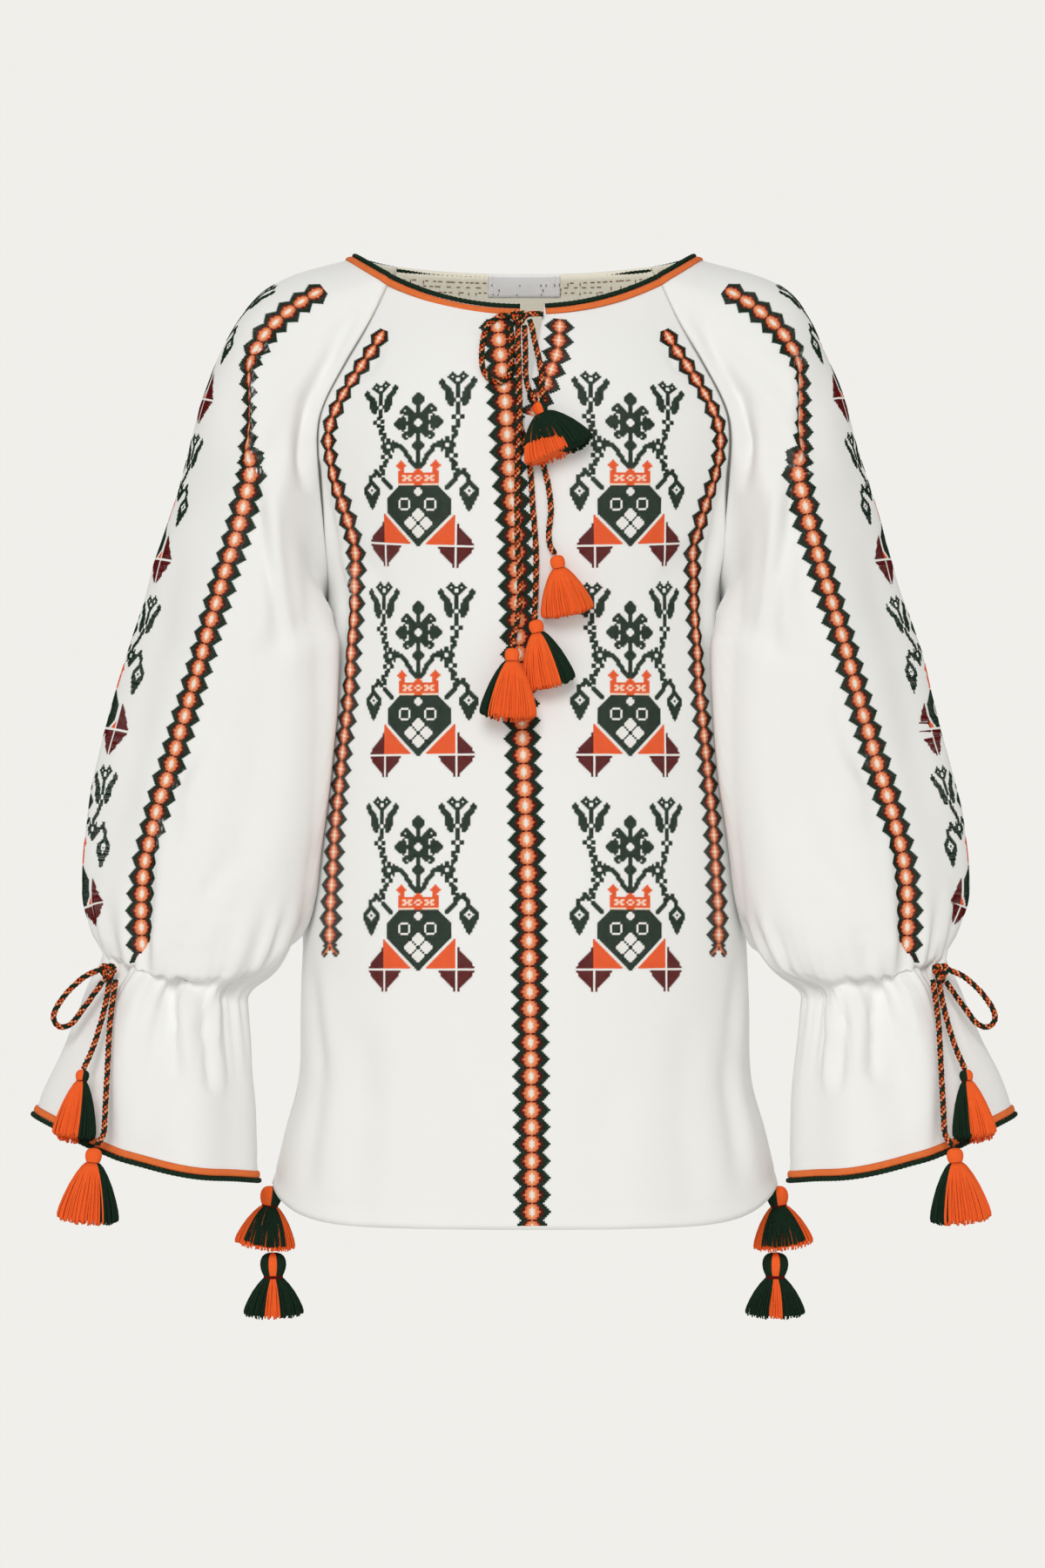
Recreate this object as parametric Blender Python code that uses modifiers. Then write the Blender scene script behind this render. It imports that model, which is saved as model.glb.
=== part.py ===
"""Embroidered peasant blouse (vyshyvanka), filled out and hollow, with trims, ties and tassels.

+X is to the viewer's right, -Y the front, +Z up.  The origin lies between the shoulders at the
height of the neck's sides, where the wearer carries the blouse.  Tables are in millimetres, and
the left sleeve, at -X, is the one that the tables describe; the right one mirrors it.
"""

import math
from collections import namedtuple

import bmesh
import bpy
import numpy as np
from mathutils import Matrix, Vector

MM = 0.001
WALL = 1.2  # cloth thickness
CORD_GAP = 0.3  # between the neck's or cuff's edge and the cord along it
SLEEVE_SEAM_GAP = 1.7  # the sleeve leaves the body at an angle, so its wall needs more room
SLEEVE_CLEAR = 3.2  # the sleeve's inner side lies this far off the body's side

NECK_HALF_WIDTH = 125.0
NECK_SIDE_Z = 3.0  # the neckline's highest points, at its sides

# ------------------------------------------------------------------ sections of the body

# A section runs from the centre line to the panel's edge on a superellipse of this half width,
# depth and roundness, and its height goes from z_mid to z_edge with this power of the way out.
Section = namedtuple("Section", "name z_mid z_edge x_edge half_width depth roundness edge_power")
Torso = namedtuple("Torso", "name z_mid z_edge half_width front_depth back_depth edge_power")

FRONT_YOKE = (
    Section("neckline", -40.5, -15, 97.5, 125, 85, 2.0, 2.2),
    Section("collarbone", -64, -50, 114, 139, 100, 2.1, 2.2),
    Section("upper chest", -91, -82, 132.5, 153, 111, 2.2, 2.0),
    Section("raglan crest", -116, -111, 147.5, 165, 118, 2.25, 2.0),
    Section("raglan bend", -135, -132, 152, 167, 121, 2.3, 2.0),
    Section("chest", -164, -163, 151, 162, 123, 2.3, 2.0),
    Section("bust line", -198, -198, 148, 154.5, 123, 2.25, 2.0),
    Section("armhole foot", -230, -230, 145, 148, 122, 2.2, 2.0),
)
BACK_YOKE = (
    Section("neckline", -3, 0, 95, 125, 70, 2.0, 2.2),
    Section("nape", -38, -42, 113, 139, 90, 2.1, 2.2),
    Section("shoulder blades", -79, -80, 132, 153, 103, 2.2, 2.0),
    Section("raglan crest", -111, -111, 147, 165, 110, 2.25, 2.0),
    Section("raglan bend", -132, -132, 152, 167, 113, 2.3, 2.0),
    Section("back", -164, -164, 151, 162, 115, 2.3, 2.0),
    Section("mid back", -198, -198, 148, 154.5, 115, 2.25, 2.0),
    Section("armhole foot", -230, -230, 145, 148, 114, 2.2, 2.0),
)
TORSO = (
    Torso("underarm", -254.5, -254.5, 145.5, 121, 113, 2.0),
    Torso("ribs", -300, -300, 148.5, 120, 112, 2.0),
    Torso("waist", -360, -360, 153, 119, 110, 2.0),
    Torso("high hip", -425, -425, 159, 119, 110, 2.0),
    Torso("hip", -490, -490, 164.5, 121, 113, 2.0),
    Torso("skirt", -560, -560, 166.5, 123, 116, 2.0),
    Torso("lower skirt", -612, -610, 168.5, 125, 119, 3.0),
    Torso("flare", -656, -649, 179.5, 127, 122, 6.0),
    Torso("hem", -712, -688, 189, 129, 125, 9.0),
)
TORSO_ROUNDNESS = 2.2
UNDERARM_ROW = len(FRONT_YOKE)

# The slit at the centre front: its two edges at the neckline and the point where they meet.
SLIT_LEFT_X = -3.0
SLIT_RIGHT_X = 15.0
SLIT_FOOT_X = -1.0
SLIT_FOOT_ROW = 3.4  # in rows of the front's sections

# The rows of the panels' meshes, in rows of the sections.
BODY_DOWNS = (0, 0.6, 1.2, 1.8, 2.4, 2.9, SLIT_FOOT_ROW, 4, 4.6, 5.2, 5.8, 6.4, 7, 7.5,
              8, 9, 10, 11.5, 13, 14, 15, 15.5, 16)
SEAM_STEPS = 81  # points that measure a seam's length
RING_STEPS = 241  # points that measure a sleeve ring's length
EDGE_ACROSS, EDGE_DEEP = 1.3, 0.8  # powers that draw a ring's outer half in to an edge
EDGE_LOOK_BACK = 0.9  # share of the edge's angle that gives the panel's direction at its edge
NECK_WAY_GAP = 0.013  # share of the neckline over the shoulder left open at each raglan seam
ARM_BIAS = np.array((-0.35, 0.0, -0.15))  # the sleeve leaves its seam a little towards the arm
NECK_COLUMNS = 8  # columns of the sleeve's mesh that end at the neckline

# ------------------------------------------------------------------ rings of the sleeve

# A ring runs from its inner to its outer point.  Its inner half is an ellipse; the higher point is,
# the more its outer half draws in to an edge, as at a sleeve's outer fold.  Its front and back hang
# lower by sag.
Ring = namedtuple(
    "Ring", "name inner_x inner_y inner_z outer_x outer_y outer_z half_depth sag point"
)

SLEEVE_RINGS = (
    Ring("shoulder", 151, -4, -262, 196, 0, -23, 68, 0, 0),
    Ring("cap", 148, -22, -271, 232, -2, -84.5, 66, 0, 0.45),
    Ring("upper arm", 144, -36, -283, 255, -5, -162, 60, 0, 0.8),
    Ring("arm", 140, -48, -297, 281, -10, -247, 54, 0, 1),
    Ring("elbow", 142, -52, -357, 307, -16, -334, 51, 0, 1),
    Ring("forearm", 151, -54, -422, 323, -22, -402, 51, 0, 1),
    Ring("puff", 159, -55, -478, 328.5, -26, -464, 53, 0, 0.9),
    Ring("puff foot", 167, -55, -500, 322, -28, -492, 53, 4, 0.7),
    Ring("puff lip", 181, -53, -523, 313, -32, -513, 47, 12, 0.5),
    Ring("gather", 203, -48, -542.5, 310, -40, -523, 33, 0, 0.3),
    Ring("flounce top", 205, -54, -560, 321, -38, -543, 41, 3, 0.4),
    Ring("flounce", 201, -57, -606, 338, -35, -583, 51, 6, 0.5),
    Ring("flounce foot", 198, -60, -649, 351, -32, -613, 58, 8, 0.5),
    Ring("cuff hem", 196, -62, -683, 359.5, -30, -637, 62, 9, 0.5),
)
# Fractions of the way round a ring, from the underarm by the front: where the raglan seam meets
# the neckline, in front and behind.
NECK_FRONT_U = 0.4
NECK_BACK_U = 0.6

# The flounce's largest folds: place round the sleeve, breadth, and how far out or in they go.
Fold = namedtuple("Fold", "place breadth depth")
FLOUNCE_FOLDS = (
    Fold(0.06, 0.045, -9),
    Fold(0.15, 0.040, 6),
    Fold(0.235, 0.040, -8),
    Fold(0.32, 0.045, 5),
    Fold(0.41, 0.040, -7),
    Fold(0.52, 0.050, 5),
    Fold(0.62, 0.045, -8),
    Fold(0.73, 0.050, 6),
    Fold(0.84, 0.045, -8),
    Fold(0.93, 0.040, 5),
)
# How strong those folds are down the rings: nothing at the puff's lip, most below the gather.
FOLD_RISE = ((9.0, 0.0), (9.6, 0.75), (10.5, 1.0), (12.0, 0.6), (13.0, 0.5), (14.0, 0.5))


# ------------------------------------------------------------------ curves and surfaces


def smooth_through(points, place):
    """The point at this place, in rows, of a smooth curve through rows of numbers."""
    points = np.asarray(points, float)
    last = len(points) - 1
    row = int(min(max(math.floor(place), 0), last - 1))
    way = place - row
    here, after = points[row], points[row + 1]
    before = points[row - 1] if row > 0 else 2 * here - after
    beyond = points[row + 2] if row + 2 <= last else 2 * after - here
    return 0.5 * (
        2 * here
        + (after - before) * way
        + (2 * before - 5 * here + 4 * after - beyond) * way**2
        + (3 * here - before - 3 * after + beyond) * way**3
    )


def panel_rows(yoke, side):
    """All sections of the front or the back, as rows of numbers."""
    rows = [row[1:] for row in yoke]
    for row in TORSO:
        depth = row.front_depth if side < 0 else row.back_depth
        width = row.half_width
        rows.append((row.z_mid, row.z_edge, width, width, depth, TORSO_ROUNDNESS, row.edge_power))
    return np.array(rows, float)


FRONT_ROWS = panel_rows(FRONT_YOKE, -1)
BACK_ROWS = panel_rows(BACK_YOKE, 1)


def edge_angle(section, x):
    """The superellipse angle at which a section reaches this x."""
    half_width, roundness = section[3], section[5]
    share = min(abs(x) / half_width, 1.0)
    return math.copysign(math.asin(share ** (roundness / 2)), x)


def body_point(section, angle, side):
    """A point of the body at this angle from the centre line; side is -1 in front, 1 behind."""
    z_mid, z_edge, x_edge, half_width, depth, roundness, edge_power = section
    x = half_width * abs(math.sin(angle)) ** (2 / roundness)
    y = depth * max(math.cos(angle), 0.0) ** (2 / roundness)
    z = z_mid + (z_edge - z_mid) * min(x / x_edge, 1.0) ** edge_power
    return np.array((math.copysign(x, angle), side * y, z))


def body_section(rows, place):
    section = smooth_through(rows, place)
    section[2] = min(section[2], section[3])
    return section


def edge_point(rows, place, side, share=1.0):
    """The left edge of the front or the back, or a point at this share of its edge's angle."""
    section = body_section(rows, place)
    return body_point(section, edge_angle(section, -section[2]) * share, side)


def unit(vectors):
    return vectors / np.linalg.norm(vectors, axis=-1, keepdims=True)


def sleeve_seam(rows, side, downs):
    """The sleeve's edge along a raglan seam: the panel's edge, moved on by the seam's gap."""
    edges = np.array([edge_point(rows, down, side) for down in downs])
    insides = np.array([edge_point(rows, down, side, EDGE_LOOK_BACK) for down in downs])
    along = unit(np.gradient(edges, axis=0))
    across = unit(edges - insides)
    across -= (across * along).sum(axis=1)[:, None] * along
    return edges + unit(across + ARM_BIAS) * SLEEVE_SEAM_GAP


def neck_side_point(way):
    """The neckline over the shoulder, from the front raglan seam (0) to the back one (1)."""
    front = edge_point(FRONT_ROWS, 0, -1)
    back = edge_point(BACK_ROWS, 0, 1)
    side = np.array((-NECK_HALF_WIDTH, 0.0, NECK_SIDE_Z))
    start = math.atan2(front[1] / FRONT_ROWS[0][4], -front[0] / NECK_HALF_WIDTH)
    end = math.atan2(back[1] / BACK_ROWS[0][4], -back[0] / NECK_HALF_WIDTH)
    angle = start + (end - start) * way
    depth = FRONT_ROWS[0][4] if angle < 0 else BACK_ROWS[0][4]
    far = front if angle < 0 else back
    share = (math.sin(angle) / math.sin(start if angle < 0 else end)) ** 2
    z = side[2] + (far[2] - side[2]) * share
    return np.array((-NECK_HALF_WIDTH * math.cos(angle), depth * math.sin(angle), z))


def lengths_along(points):
    """The length of a polyline up to each of its points."""
    steps = np.linalg.norm(np.diff(points, axis=0), axis=1)
    return np.concatenate(([0.0], np.cumsum(steps)))


def at_shares(points, shares):
    """Points of a polyline at these shares of its length."""
    points = np.asarray(points, float)
    along = lengths_along(points)
    places = np.asarray(shares, float) * along[-1]
    return np.stack([np.interp(places, along, points[:, axis]) for axis in range(3)], axis=1)


def seam_shares():
    """Places round the sleeve that meet the body's rows, with the neckline's between them."""
    fine = np.linspace(0, UNDERARM_ROW, SEAM_STEPS)
    rows = [down for down in BODY_DOWNS if down <= UNDERARM_ROW]
    shares = []
    for table, side in ((FRONT_ROWS, -1), (BACK_ROWS, 1)):
        seam = np.array([edge_point(table, down, side) for down in fine])
        along = lengths_along(seam)
        lengths = np.interp(rows, fine, along) / along[-1]
        if side < 0:
            shares += list(NECK_FRONT_U * (1 - lengths))
        else:
            shares += list(NECK_BACK_U + (1 - NECK_BACK_U) * lengths[:-1])
    shares += list(np.linspace(NECK_FRONT_U, NECK_BACK_U, NECK_COLUMNS + 1)[1:-1])
    return np.array(sorted(shares))


def seam_ring(shares):
    """The sleeve's upper edge: raglan seams and neckline, from the underarm by the front."""
    downs = np.linspace(UNDERARM_ROW, 0, SEAM_STEPS)
    front = sleeve_seam(FRONT_ROWS, -1, downs)
    ways = np.linspace(NECK_WAY_GAP, 1 - NECK_WAY_GAP, SEAM_STEPS)
    over = [neck_side_point(way) for way in ways]
    back = sleeve_seam(BACK_ROWS, 1, downs[::-1])
    ring = np.zeros((len(shares), 3))
    for curve, low, high in (
        (front, 0.0, NECK_FRONT_U),
        (over, NECK_FRONT_U, NECK_BACK_U),
        (back, NECK_BACK_U, 1.0),
    ):
        inside = (shares >= low) & (shares <= high)
        ring[inside] = at_shares(curve, (shares[inside] - low) / (high - low))
    return ring


def ring_points(ring, shares):
    """One of the sleeve's rings, at these fractions of its length from the inner point."""
    inner = np.array((-ring.inner_x, ring.inner_y, ring.inner_z), float)
    outer = np.array((-ring.outer_x, ring.outer_y, ring.outer_z), float)
    centre = (inner + outer) / 2
    half = np.linalg.norm(outer - inner) / 2
    outward = (outer - inner) / (2 * half)
    backward = np.array((0.0, 1.0, 0.0)) - outward[1] * outward
    backward /= np.linalg.norm(backward)
    points = []
    for angle in np.linspace(0, 2 * math.pi, RING_STEPS):
        across = math.sin(angle)
        out = -math.cos(angle)
        if out > 0:
            edge = (1 - out**EDGE_ACROSS) ** EDGE_DEEP
            across += ring.point * (math.copysign(edge, across) - across)
        point = centre + half * out * outward - ring.half_depth * across * backward
        point[2] -= ring.sag * across**2
        points.append(point)
    return at_shares(points, shares)


def sleeve_rings(shares):
    return np.array([seam_ring(shares)] + [ring_points(ring, shares) for ring in SLEEVE_RINGS])


def fold_push(place_round, place_down):
    """How far the flounce's folds move a point out of its ring."""
    strength = np.interp(place_down, [row[0] for row in FOLD_RISE], [row[1] for row in FOLD_RISE])
    push = 0.0
    for fold in FLOUNCE_FOLDS:
        off = (place_round - fold.place + 0.5) % 1.0 - 0.5
        push += fold.depth * math.exp(-((off / fold.breadth) ** 2))
    return strength * push


def rest_on_body(point):
    """A sleeve point below the underarm, moved out to the body's side where it would be inside."""
    x, y, z = point
    if z > TORSO[0].z_edge:
        return point
    heights = [-row.z_edge for row in TORSO]
    half_width = np.interp(-z, heights, [row.half_width for row in TORSO]) + SLEEVE_CLEAR
    depths = [row.front_depth if y < 0 else row.back_depth for row in TORSO]
    depth = np.interp(-z, heights, depths) + SLEEVE_CLEAR
    inward = max(1 - (abs(y) / depth) ** TORSO_ROUNDNESS, 0.0)
    side = half_width * inward ** (1 / TORSO_ROUNDNESS)
    return np.array((min(x, -side), y, z))


def sleeve_grid(shares, downs):
    """Rows of sleeve points, from the raglan seam down to the cuff's hem."""
    rings = sleeve_rings(shares)
    grid = np.array([smooth_through(rings, down) for down in downs])
    for row, down in enumerate(downs):
        centre = grid[row].mean(axis=0)
        for column, share in enumerate(shares):
            push = fold_push(share, down)
            if push:
                away = grid[row][column] - centre
                grid[row][column] += away / np.linalg.norm(away) * push
    return np.array([[rest_on_body(point) for point in row] for row in grid])


# ------------------------------------------------------------------ objects


def fresh_scene():
    for old in list(bpy.data.objects):
        bpy.data.objects.remove(old, do_unlink=True)


def material(name, colour, roughness):
    made = bpy.data.materials.new(name)
    made.use_nodes = True
    shader = made.node_tree.nodes["Principled BSDF"]
    shader.inputs["Base Color"].default_value = (*colour, 1.0)
    shader.inputs["Roughness"].default_value = roughness
    shader.inputs["Metallic"].default_value = 0.0
    return made


def mesh_object(name, points, faces, finish):
    """A mesh from points in millimetres and faces."""
    mesh = bpy.data.meshes.new(name)
    mesh.from_pydata([tuple(np.asarray(point) * MM) for point in points], [], faces)
    mesh.materials.append(finish)
    mesh.shade_smooth()
    made = bpy.data.objects.new(name, mesh)
    PARTS.objects.link(made)
    return made


def grid_faces(rows, columns, closed=False):
    """Quads over a grid of points."""
    faces = []
    for row in range(rows - 1):
        for column in range(columns if closed else columns - 1):
            after = (column + 1) % columns
            start, below = row * columns, (row + 1) * columns
            faces.append((start + column, below + column, below + after, start + after))
    return faces


def add_wall(piece, thickness=WALL):
    wall = piece.modifiers.new("wall", "SOLIDIFY")
    wall.thickness = thickness * MM
    wall.offset = 0.0
    wall.use_even_offset = True


def mirrored(points):
    return np.asarray(points) * np.array((-1.0, 1.0, 1.0))


def ring_solid(name, rings, finish, closed=False):
    """A solid skinned over sections of like point counts, capped unless it closes on itself."""
    rings = np.asarray(rings, float)
    count, sides = rings.shape[:2]
    faces = []
    for ring in range(count if closed else count - 1):
        after = (ring + 1) % count
        for side in range(sides):
            beside = (side + 1) % sides
            faces.append((ring * sides + side, ring * sides + beside,
                          after * sides + beside, after * sides + side))
    if not closed:
        faces.append(tuple(range(sides - 1, -1, -1)))
        faces.append(tuple((count - 1) * sides + side for side in range(sides)))
    made = mesh_object(name, rings.reshape(-1, 3), faces, finish)
    face_outward(made)
    return made


def face_outward(made):
    work = bmesh.new()
    work.from_mesh(made.data)
    bmesh.ops.recalc_face_normals(work, faces=work.faces)
    work.to_mesh(made.data)
    work.free()


# ------------------------------------------------------------------ front and back


def slit_x(place):
    """The two edges of the slit at this row of the front's sections."""
    shut = min(max(place / SLIT_FOOT_ROW, 0.0), 1.0)
    left = SLIT_LEFT_X + (SLIT_FOOT_X - SLIT_LEFT_X) * shut
    right = SLIT_RIGHT_X + (SLIT_FOOT_X - SLIT_RIGHT_X) * shut
    return left, right


HALF_COLUMNS = 8
EDGE_CLEAR = 0.2  # each panel stops this far short of its seams
NEAR_CENTRE = 0.001  # stands for the centre line, on one side of it


def panel_row(rows, place, side, inner_x, outward):
    """Points of one half of a section, from near the centre line to its edge."""
    section = body_section(rows, place)
    end = abs(edge_angle(section, section[2]))
    start = abs(edge_angle(section, inner_x)) * math.copysign(1.0, inner_x * outward)
    points = [
        body_point(section, outward * (start + (end - start) * step / HALF_COLUMNS), side)
        for step in range(HALF_COLUMNS + 1)
    ]
    last = points[-1] - points[-2]
    points[-1] = points[-1] - last / np.linalg.norm(last) * EDGE_CLEAR
    return points


def make_front(finish):
    """The front, with its slit: the centre column is doubled above the slit's foot."""
    points, index = [], {}

    def vertex(key, point):
        if key not in index:
            index[key] = len(points)
            points.append(point)
        return index[key]

    rows = []
    for down in BODY_DOWNS:
        left_x, right_x = slit_x(down)
        left = panel_row(FRONT_ROWS, down, -1, left_x, -1)
        right = panel_row(FRONT_ROWS, down, -1, right_x, 1)
        open_here = down < SLIT_FOOT_ROW
        row = []
        for half, half_points in (("left", left), ("right", right)):
            ids = []
            for step, point in enumerate(half_points):
                shared = step == 0 and not open_here
                ids.append(vertex((down, "centre" if shared else half, step), point))
            row.append(ids)
        rows.append(row)
    faces = []
    for above, below in zip(rows, rows[1:]):
        for half in (0, 1):
            for step in range(HALF_COLUMNS):
                quad = (above[half][step], below[half][step],
                        below[half][step + 1], above[half][step + 1])
                faces.append(quad[::-1] if half == 0 else quad)
    front = mesh_object("front_panel", points, faces, finish)
    add_wall(front)
    return front


def make_back(finish):
    points = []
    for down in BODY_DOWNS:
        left = panel_row(BACK_ROWS, down, 1, -NEAR_CENTRE, -1)
        right = panel_row(BACK_ROWS, down, 1, NEAR_CENTRE, 1)
        points += left[::-1] + right[1:]
    columns = 2 * HALF_COLUMNS + 1
    faces = grid_faces(len(BODY_DOWNS), columns)
    back = mesh_object("back_panel", points, [face[::-1] for face in faces], finish)
    add_wall(back)
    return back


# ------------------------------------------------------------------ sleeves

# The rows of the sleeve's mesh, in rings.
SLEEVE_DOWNS = (0, 0.35, 0.75, 1.2, 1.8, 2.5, 3.2, 4, 5, 6, 7, 8, 8.5, 9, 9.5, 10, 10.5,
                11.2, 12, 13, 14)


def make_sleeves(finish):
    shares = seam_shares()
    grid = sleeve_grid(shares, SLEEVE_DOWNS)
    faces = grid_faces(len(SLEEVE_DOWNS), len(shares), closed=True)
    made = []
    for name, points, turned in (
        ("sleeve_left", grid, False),
        ("sleeve_right", mirrored(grid), True),
    ):
        loops = [face[::-1] for face in faces] if turned else faces
        sleeve = mesh_object(name, points.reshape(-1, 3), loops, finish)
        add_wall(sleeve)
        made.append(sleeve)
    return made


# ------------------------------------------------------------------ trims

CORD_RADIUS = 1.8  # dark green cord on the neck's and cuffs' very edge
BRAID_WIDTH = 6.0  # orange braid beside it
BRAID_THICKNESS = 2.2
BRAID_EDGE_GAP = 1.4  # cloth left bare between the edge and the braid
FACET_ROOM = 1.7  # between a panel and what lies on it, where their facets differ
TRIM_SIDES = 6
FRONT_TRIM_STEPS = 9
SIDE_TRIM_STEPS = NECK_COLUMNS - 1
BACK_TRIM_STEPS = 8
TRIM_LOOK = 0.25  # rows down the cloth that give the trim its direction


def neck_half_line(slit_edge_x):
    """The left half of the neckline, from the slit to the back's middle, and points below it."""
    line, below = [], []
    section = body_section(FRONT_ROWS, 0)
    lower = body_section(FRONT_ROWS, TRIM_LOOK)
    end = abs(edge_angle(section, section[2]))
    low_end = abs(edge_angle(lower, lower[2]))
    start = -edge_angle(section, slit_edge_x)
    for step in range(FRONT_TRIM_STEPS + 1):
        way = step / FRONT_TRIM_STEPS
        line.append(body_point(section, -(start + (end - start) * way), -1))
        below.append(body_point(lower, -(start + (low_end - start) * way), -1))
    shares = np.linspace(NECK_FRONT_U, NECK_BACK_U, SIDE_TRIM_STEPS + 2)[1:-1]
    rings = sleeve_rings(shares)
    line += list(rings[0])
    below += list(smooth_through(rings, TRIM_LOOK))
    section = body_section(BACK_ROWS, 0)
    lower = body_section(BACK_ROWS, TRIM_LOOK)
    end = abs(edge_angle(section, section[2]))
    low_end = abs(edge_angle(lower, lower[2]))
    for step in range(BACK_TRIM_STEPS + 1):
        way = 1 - step / BACK_TRIM_STEPS
        line.append(body_point(section, -end * way, 1))
        below.append(body_point(lower, -low_end * way, 1))
    return np.array(line), np.array(below)


def neck_line():
    """The whole neckline from the slit's left edge round to its right edge."""
    left, left_below = neck_half_line(SLIT_LEFT_X)
    right, right_below = neck_half_line(-SLIT_RIGHT_X)
    line = np.concatenate((left, mirrored(right)[-2::-1]))
    below = np.concatenate((left_below, mirrored(right_below)[-2::-1]))
    return line, below


def trim_frames(line, below, closed):
    """Directions at each point of an edge: down the cloth, and straight out of it."""
    if closed:
        along = unit(np.roll(line, -1, axis=0) - np.roll(line, 1, axis=0))
    else:
        along = unit(np.gradient(line, axis=0))
    down = below - line
    down = unit(down - (down * along).sum(axis=1)[:, None] * along)
    return down, np.cross(along, down)


def trim_rings(line, down, out, middle, half_down, half_out):
    """Oval sections along an edge; middle is each one's place down and out of the cloth."""
    rings = []
    for point, low, side in zip(line, down, out):
        centre = point + low * middle[0] + side * middle[1]
        rings.append([
            centre + low * half_down * math.cos(turn) + side * half_out * math.sin(turn)
            for turn in np.arange(TRIM_SIDES) * 2 * math.pi / TRIM_SIDES
        ])
    return np.array(rings)


CORD_MIDDLE = (-(CORD_RADIUS + CORD_GAP), 0.4)
BRAID_MIDDLE = (BRAID_EDGE_GAP + BRAID_WIDTH / 2, WALL / 2 + FACET_ROOM + BRAID_THICKNESS / 2)


def make_trims(label, line, below, closed, green, orange, turned=False):
    """The green cord and the orange braid along one edge."""
    down, out = trim_frames(line, below, closed)
    for name, middle, half_down, half_out, finish in (
        ("cord_green", CORD_MIDDLE, CORD_RADIUS, CORD_RADIUS, green),
        ("braid_orange", BRAID_MIDDLE, BRAID_WIDTH / 2, BRAID_THICKNESS / 2, orange),
    ):
        rings = trim_rings(line, down, out, middle, half_down, half_out)
        if turned:
            rings = mirrored(rings)
        ring_solid(f"{label[0]}_{name}{label[1]}", rings, finish, closed)


def cuff_line(shares):
    """The cuff's hem, and points above it on the flounce, all round."""
    grid = sleeve_grid(shares, (SLEEVE_DOWNS[-2], SLEEVE_DOWNS[-1]))
    return grid[1][::-1], grid[0][::-1]


# ------------------------------------------------------------------ neck label

LABEL_SIZE = (55.0, 16.5)
LABEL_THICKNESS = 0.6
LABEL_TOP = 0.8  # below the neckline
LABEL_COLUMNS = 6
LABEL_ROW_DROP = 35.0  # how far the back's first section is above its second, at the middle


def make_label(finish):
    """A blank tab inside the back neck, on the panel's own points moved inward."""
    inward = WALL / 2 + FACET_ROOM + LABEL_THICKNESS / 2
    points = []
    for drop in (LABEL_TOP, LABEL_TOP + LABEL_SIZE[1] / 2, LABEL_TOP + LABEL_SIZE[1]):
        section = body_section(BACK_ROWS, drop / LABEL_ROW_DROP)
        for x in np.linspace(-LABEL_SIZE[0] / 2, LABEL_SIZE[0] / 2, LABEL_COLUMNS + 1):
            point = body_point(section, edge_angle(section, x or NEAR_CENTRE), 1)
            points.append(point - np.array((0.0, inward, 0.0)))
    label = mesh_object("neck_label", points, grid_faces(3, LABEL_COLUMNS + 1), finish)
    add_wall(label, LABEL_THICKNESS)


# ------------------------------------------------------------------ tassels

# A tassel hangs from its top to the middle of its skirt's lower edge.
Tassel = namedtuple("Tassel", "name top foot radius depth head")
TASSELS = (
    Tassel("neck_tassel_1", (9.5, -127, -114), (26, -139.5, -153), 25, 9.5, 5.0),
    Tassel("neck_tassel_2", (23, -131.5, -225), (32, -132, -269), 19, 9.5, 5.0),
    Tassel("neck_tassel_3", (7.5, -130.5, -271.5), (19, -131, -321), 19, 8.5, 5.0),
    Tassel("neck_tassel_4", (-8.5, -134, -292), (-12, -142.5, -344), 20, 8.5, 5.0),
    Tassel("cuff_tassel_upper", (-321, -99, -598), (-327, -117.5, -648), 15.5, 9, 4.6),
    Tassel("cuff_tassel_lower", (-311.5, -118, -653.6), (-316.5, -122, -709), 22, 13, 5.6),
    Tassel("side_tassel_upper", (-188, 0, -690), (-194, 0, -737), 22, 17, 7.5),
    Tassel("side_tassel_lower", (-187.5, 0, -739.5), (-187, 0, -788), 22, 17, 9.0),
)
MIRRORED_TASSELS = TASSELS[4:]
# Outline of a tassel, as (share of the way out, place down): to the head's radius over its
# height first, then from the binding to the skirt's radius over the skirt's length.
HEAD_OUTLINE = ((0.0, 0.0), (0.62, 0.08), (1.0, 0.5), (0.92, 0.82), (0.7, 1.0))
SKIRT_OUTLINE = ((0.36, 0.08), (0.62, 0.34), (0.86, 0.68), (1.0, 0.95), (0.9, 1.0), (0.0, 0.985))
HEAD_HEIGHT = 2.0  # in head radii
TASSEL_SIDES = 10
DARK_TASSELS = ("neck_tassel_1", "side_tassel_lower")


def turned_solid(name, outline, finish):
    """A Screw modifier turns this outline of (radius, height), given from the top down."""
    mesh = bpy.data.meshes.new(name)
    points = [(radius * MM, 0.0, height * MM) for radius, height in outline]
    mesh.from_pydata(points, [(row, row + 1) for row in range(len(points) - 1)], [])
    mesh.materials.append(finish)
    made = bpy.data.objects.new(name, mesh)
    PARTS.objects.link(made)
    turn = made.modifiers.new("turn", "SCREW")
    turn.steps = TASSEL_SIDES
    turn.render_steps = TASSEL_SIDES
    turn.use_merge_vertices = True
    turn.merge_threshold = 0.0001
    turn.use_smooth_shade = True
    return made


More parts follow.
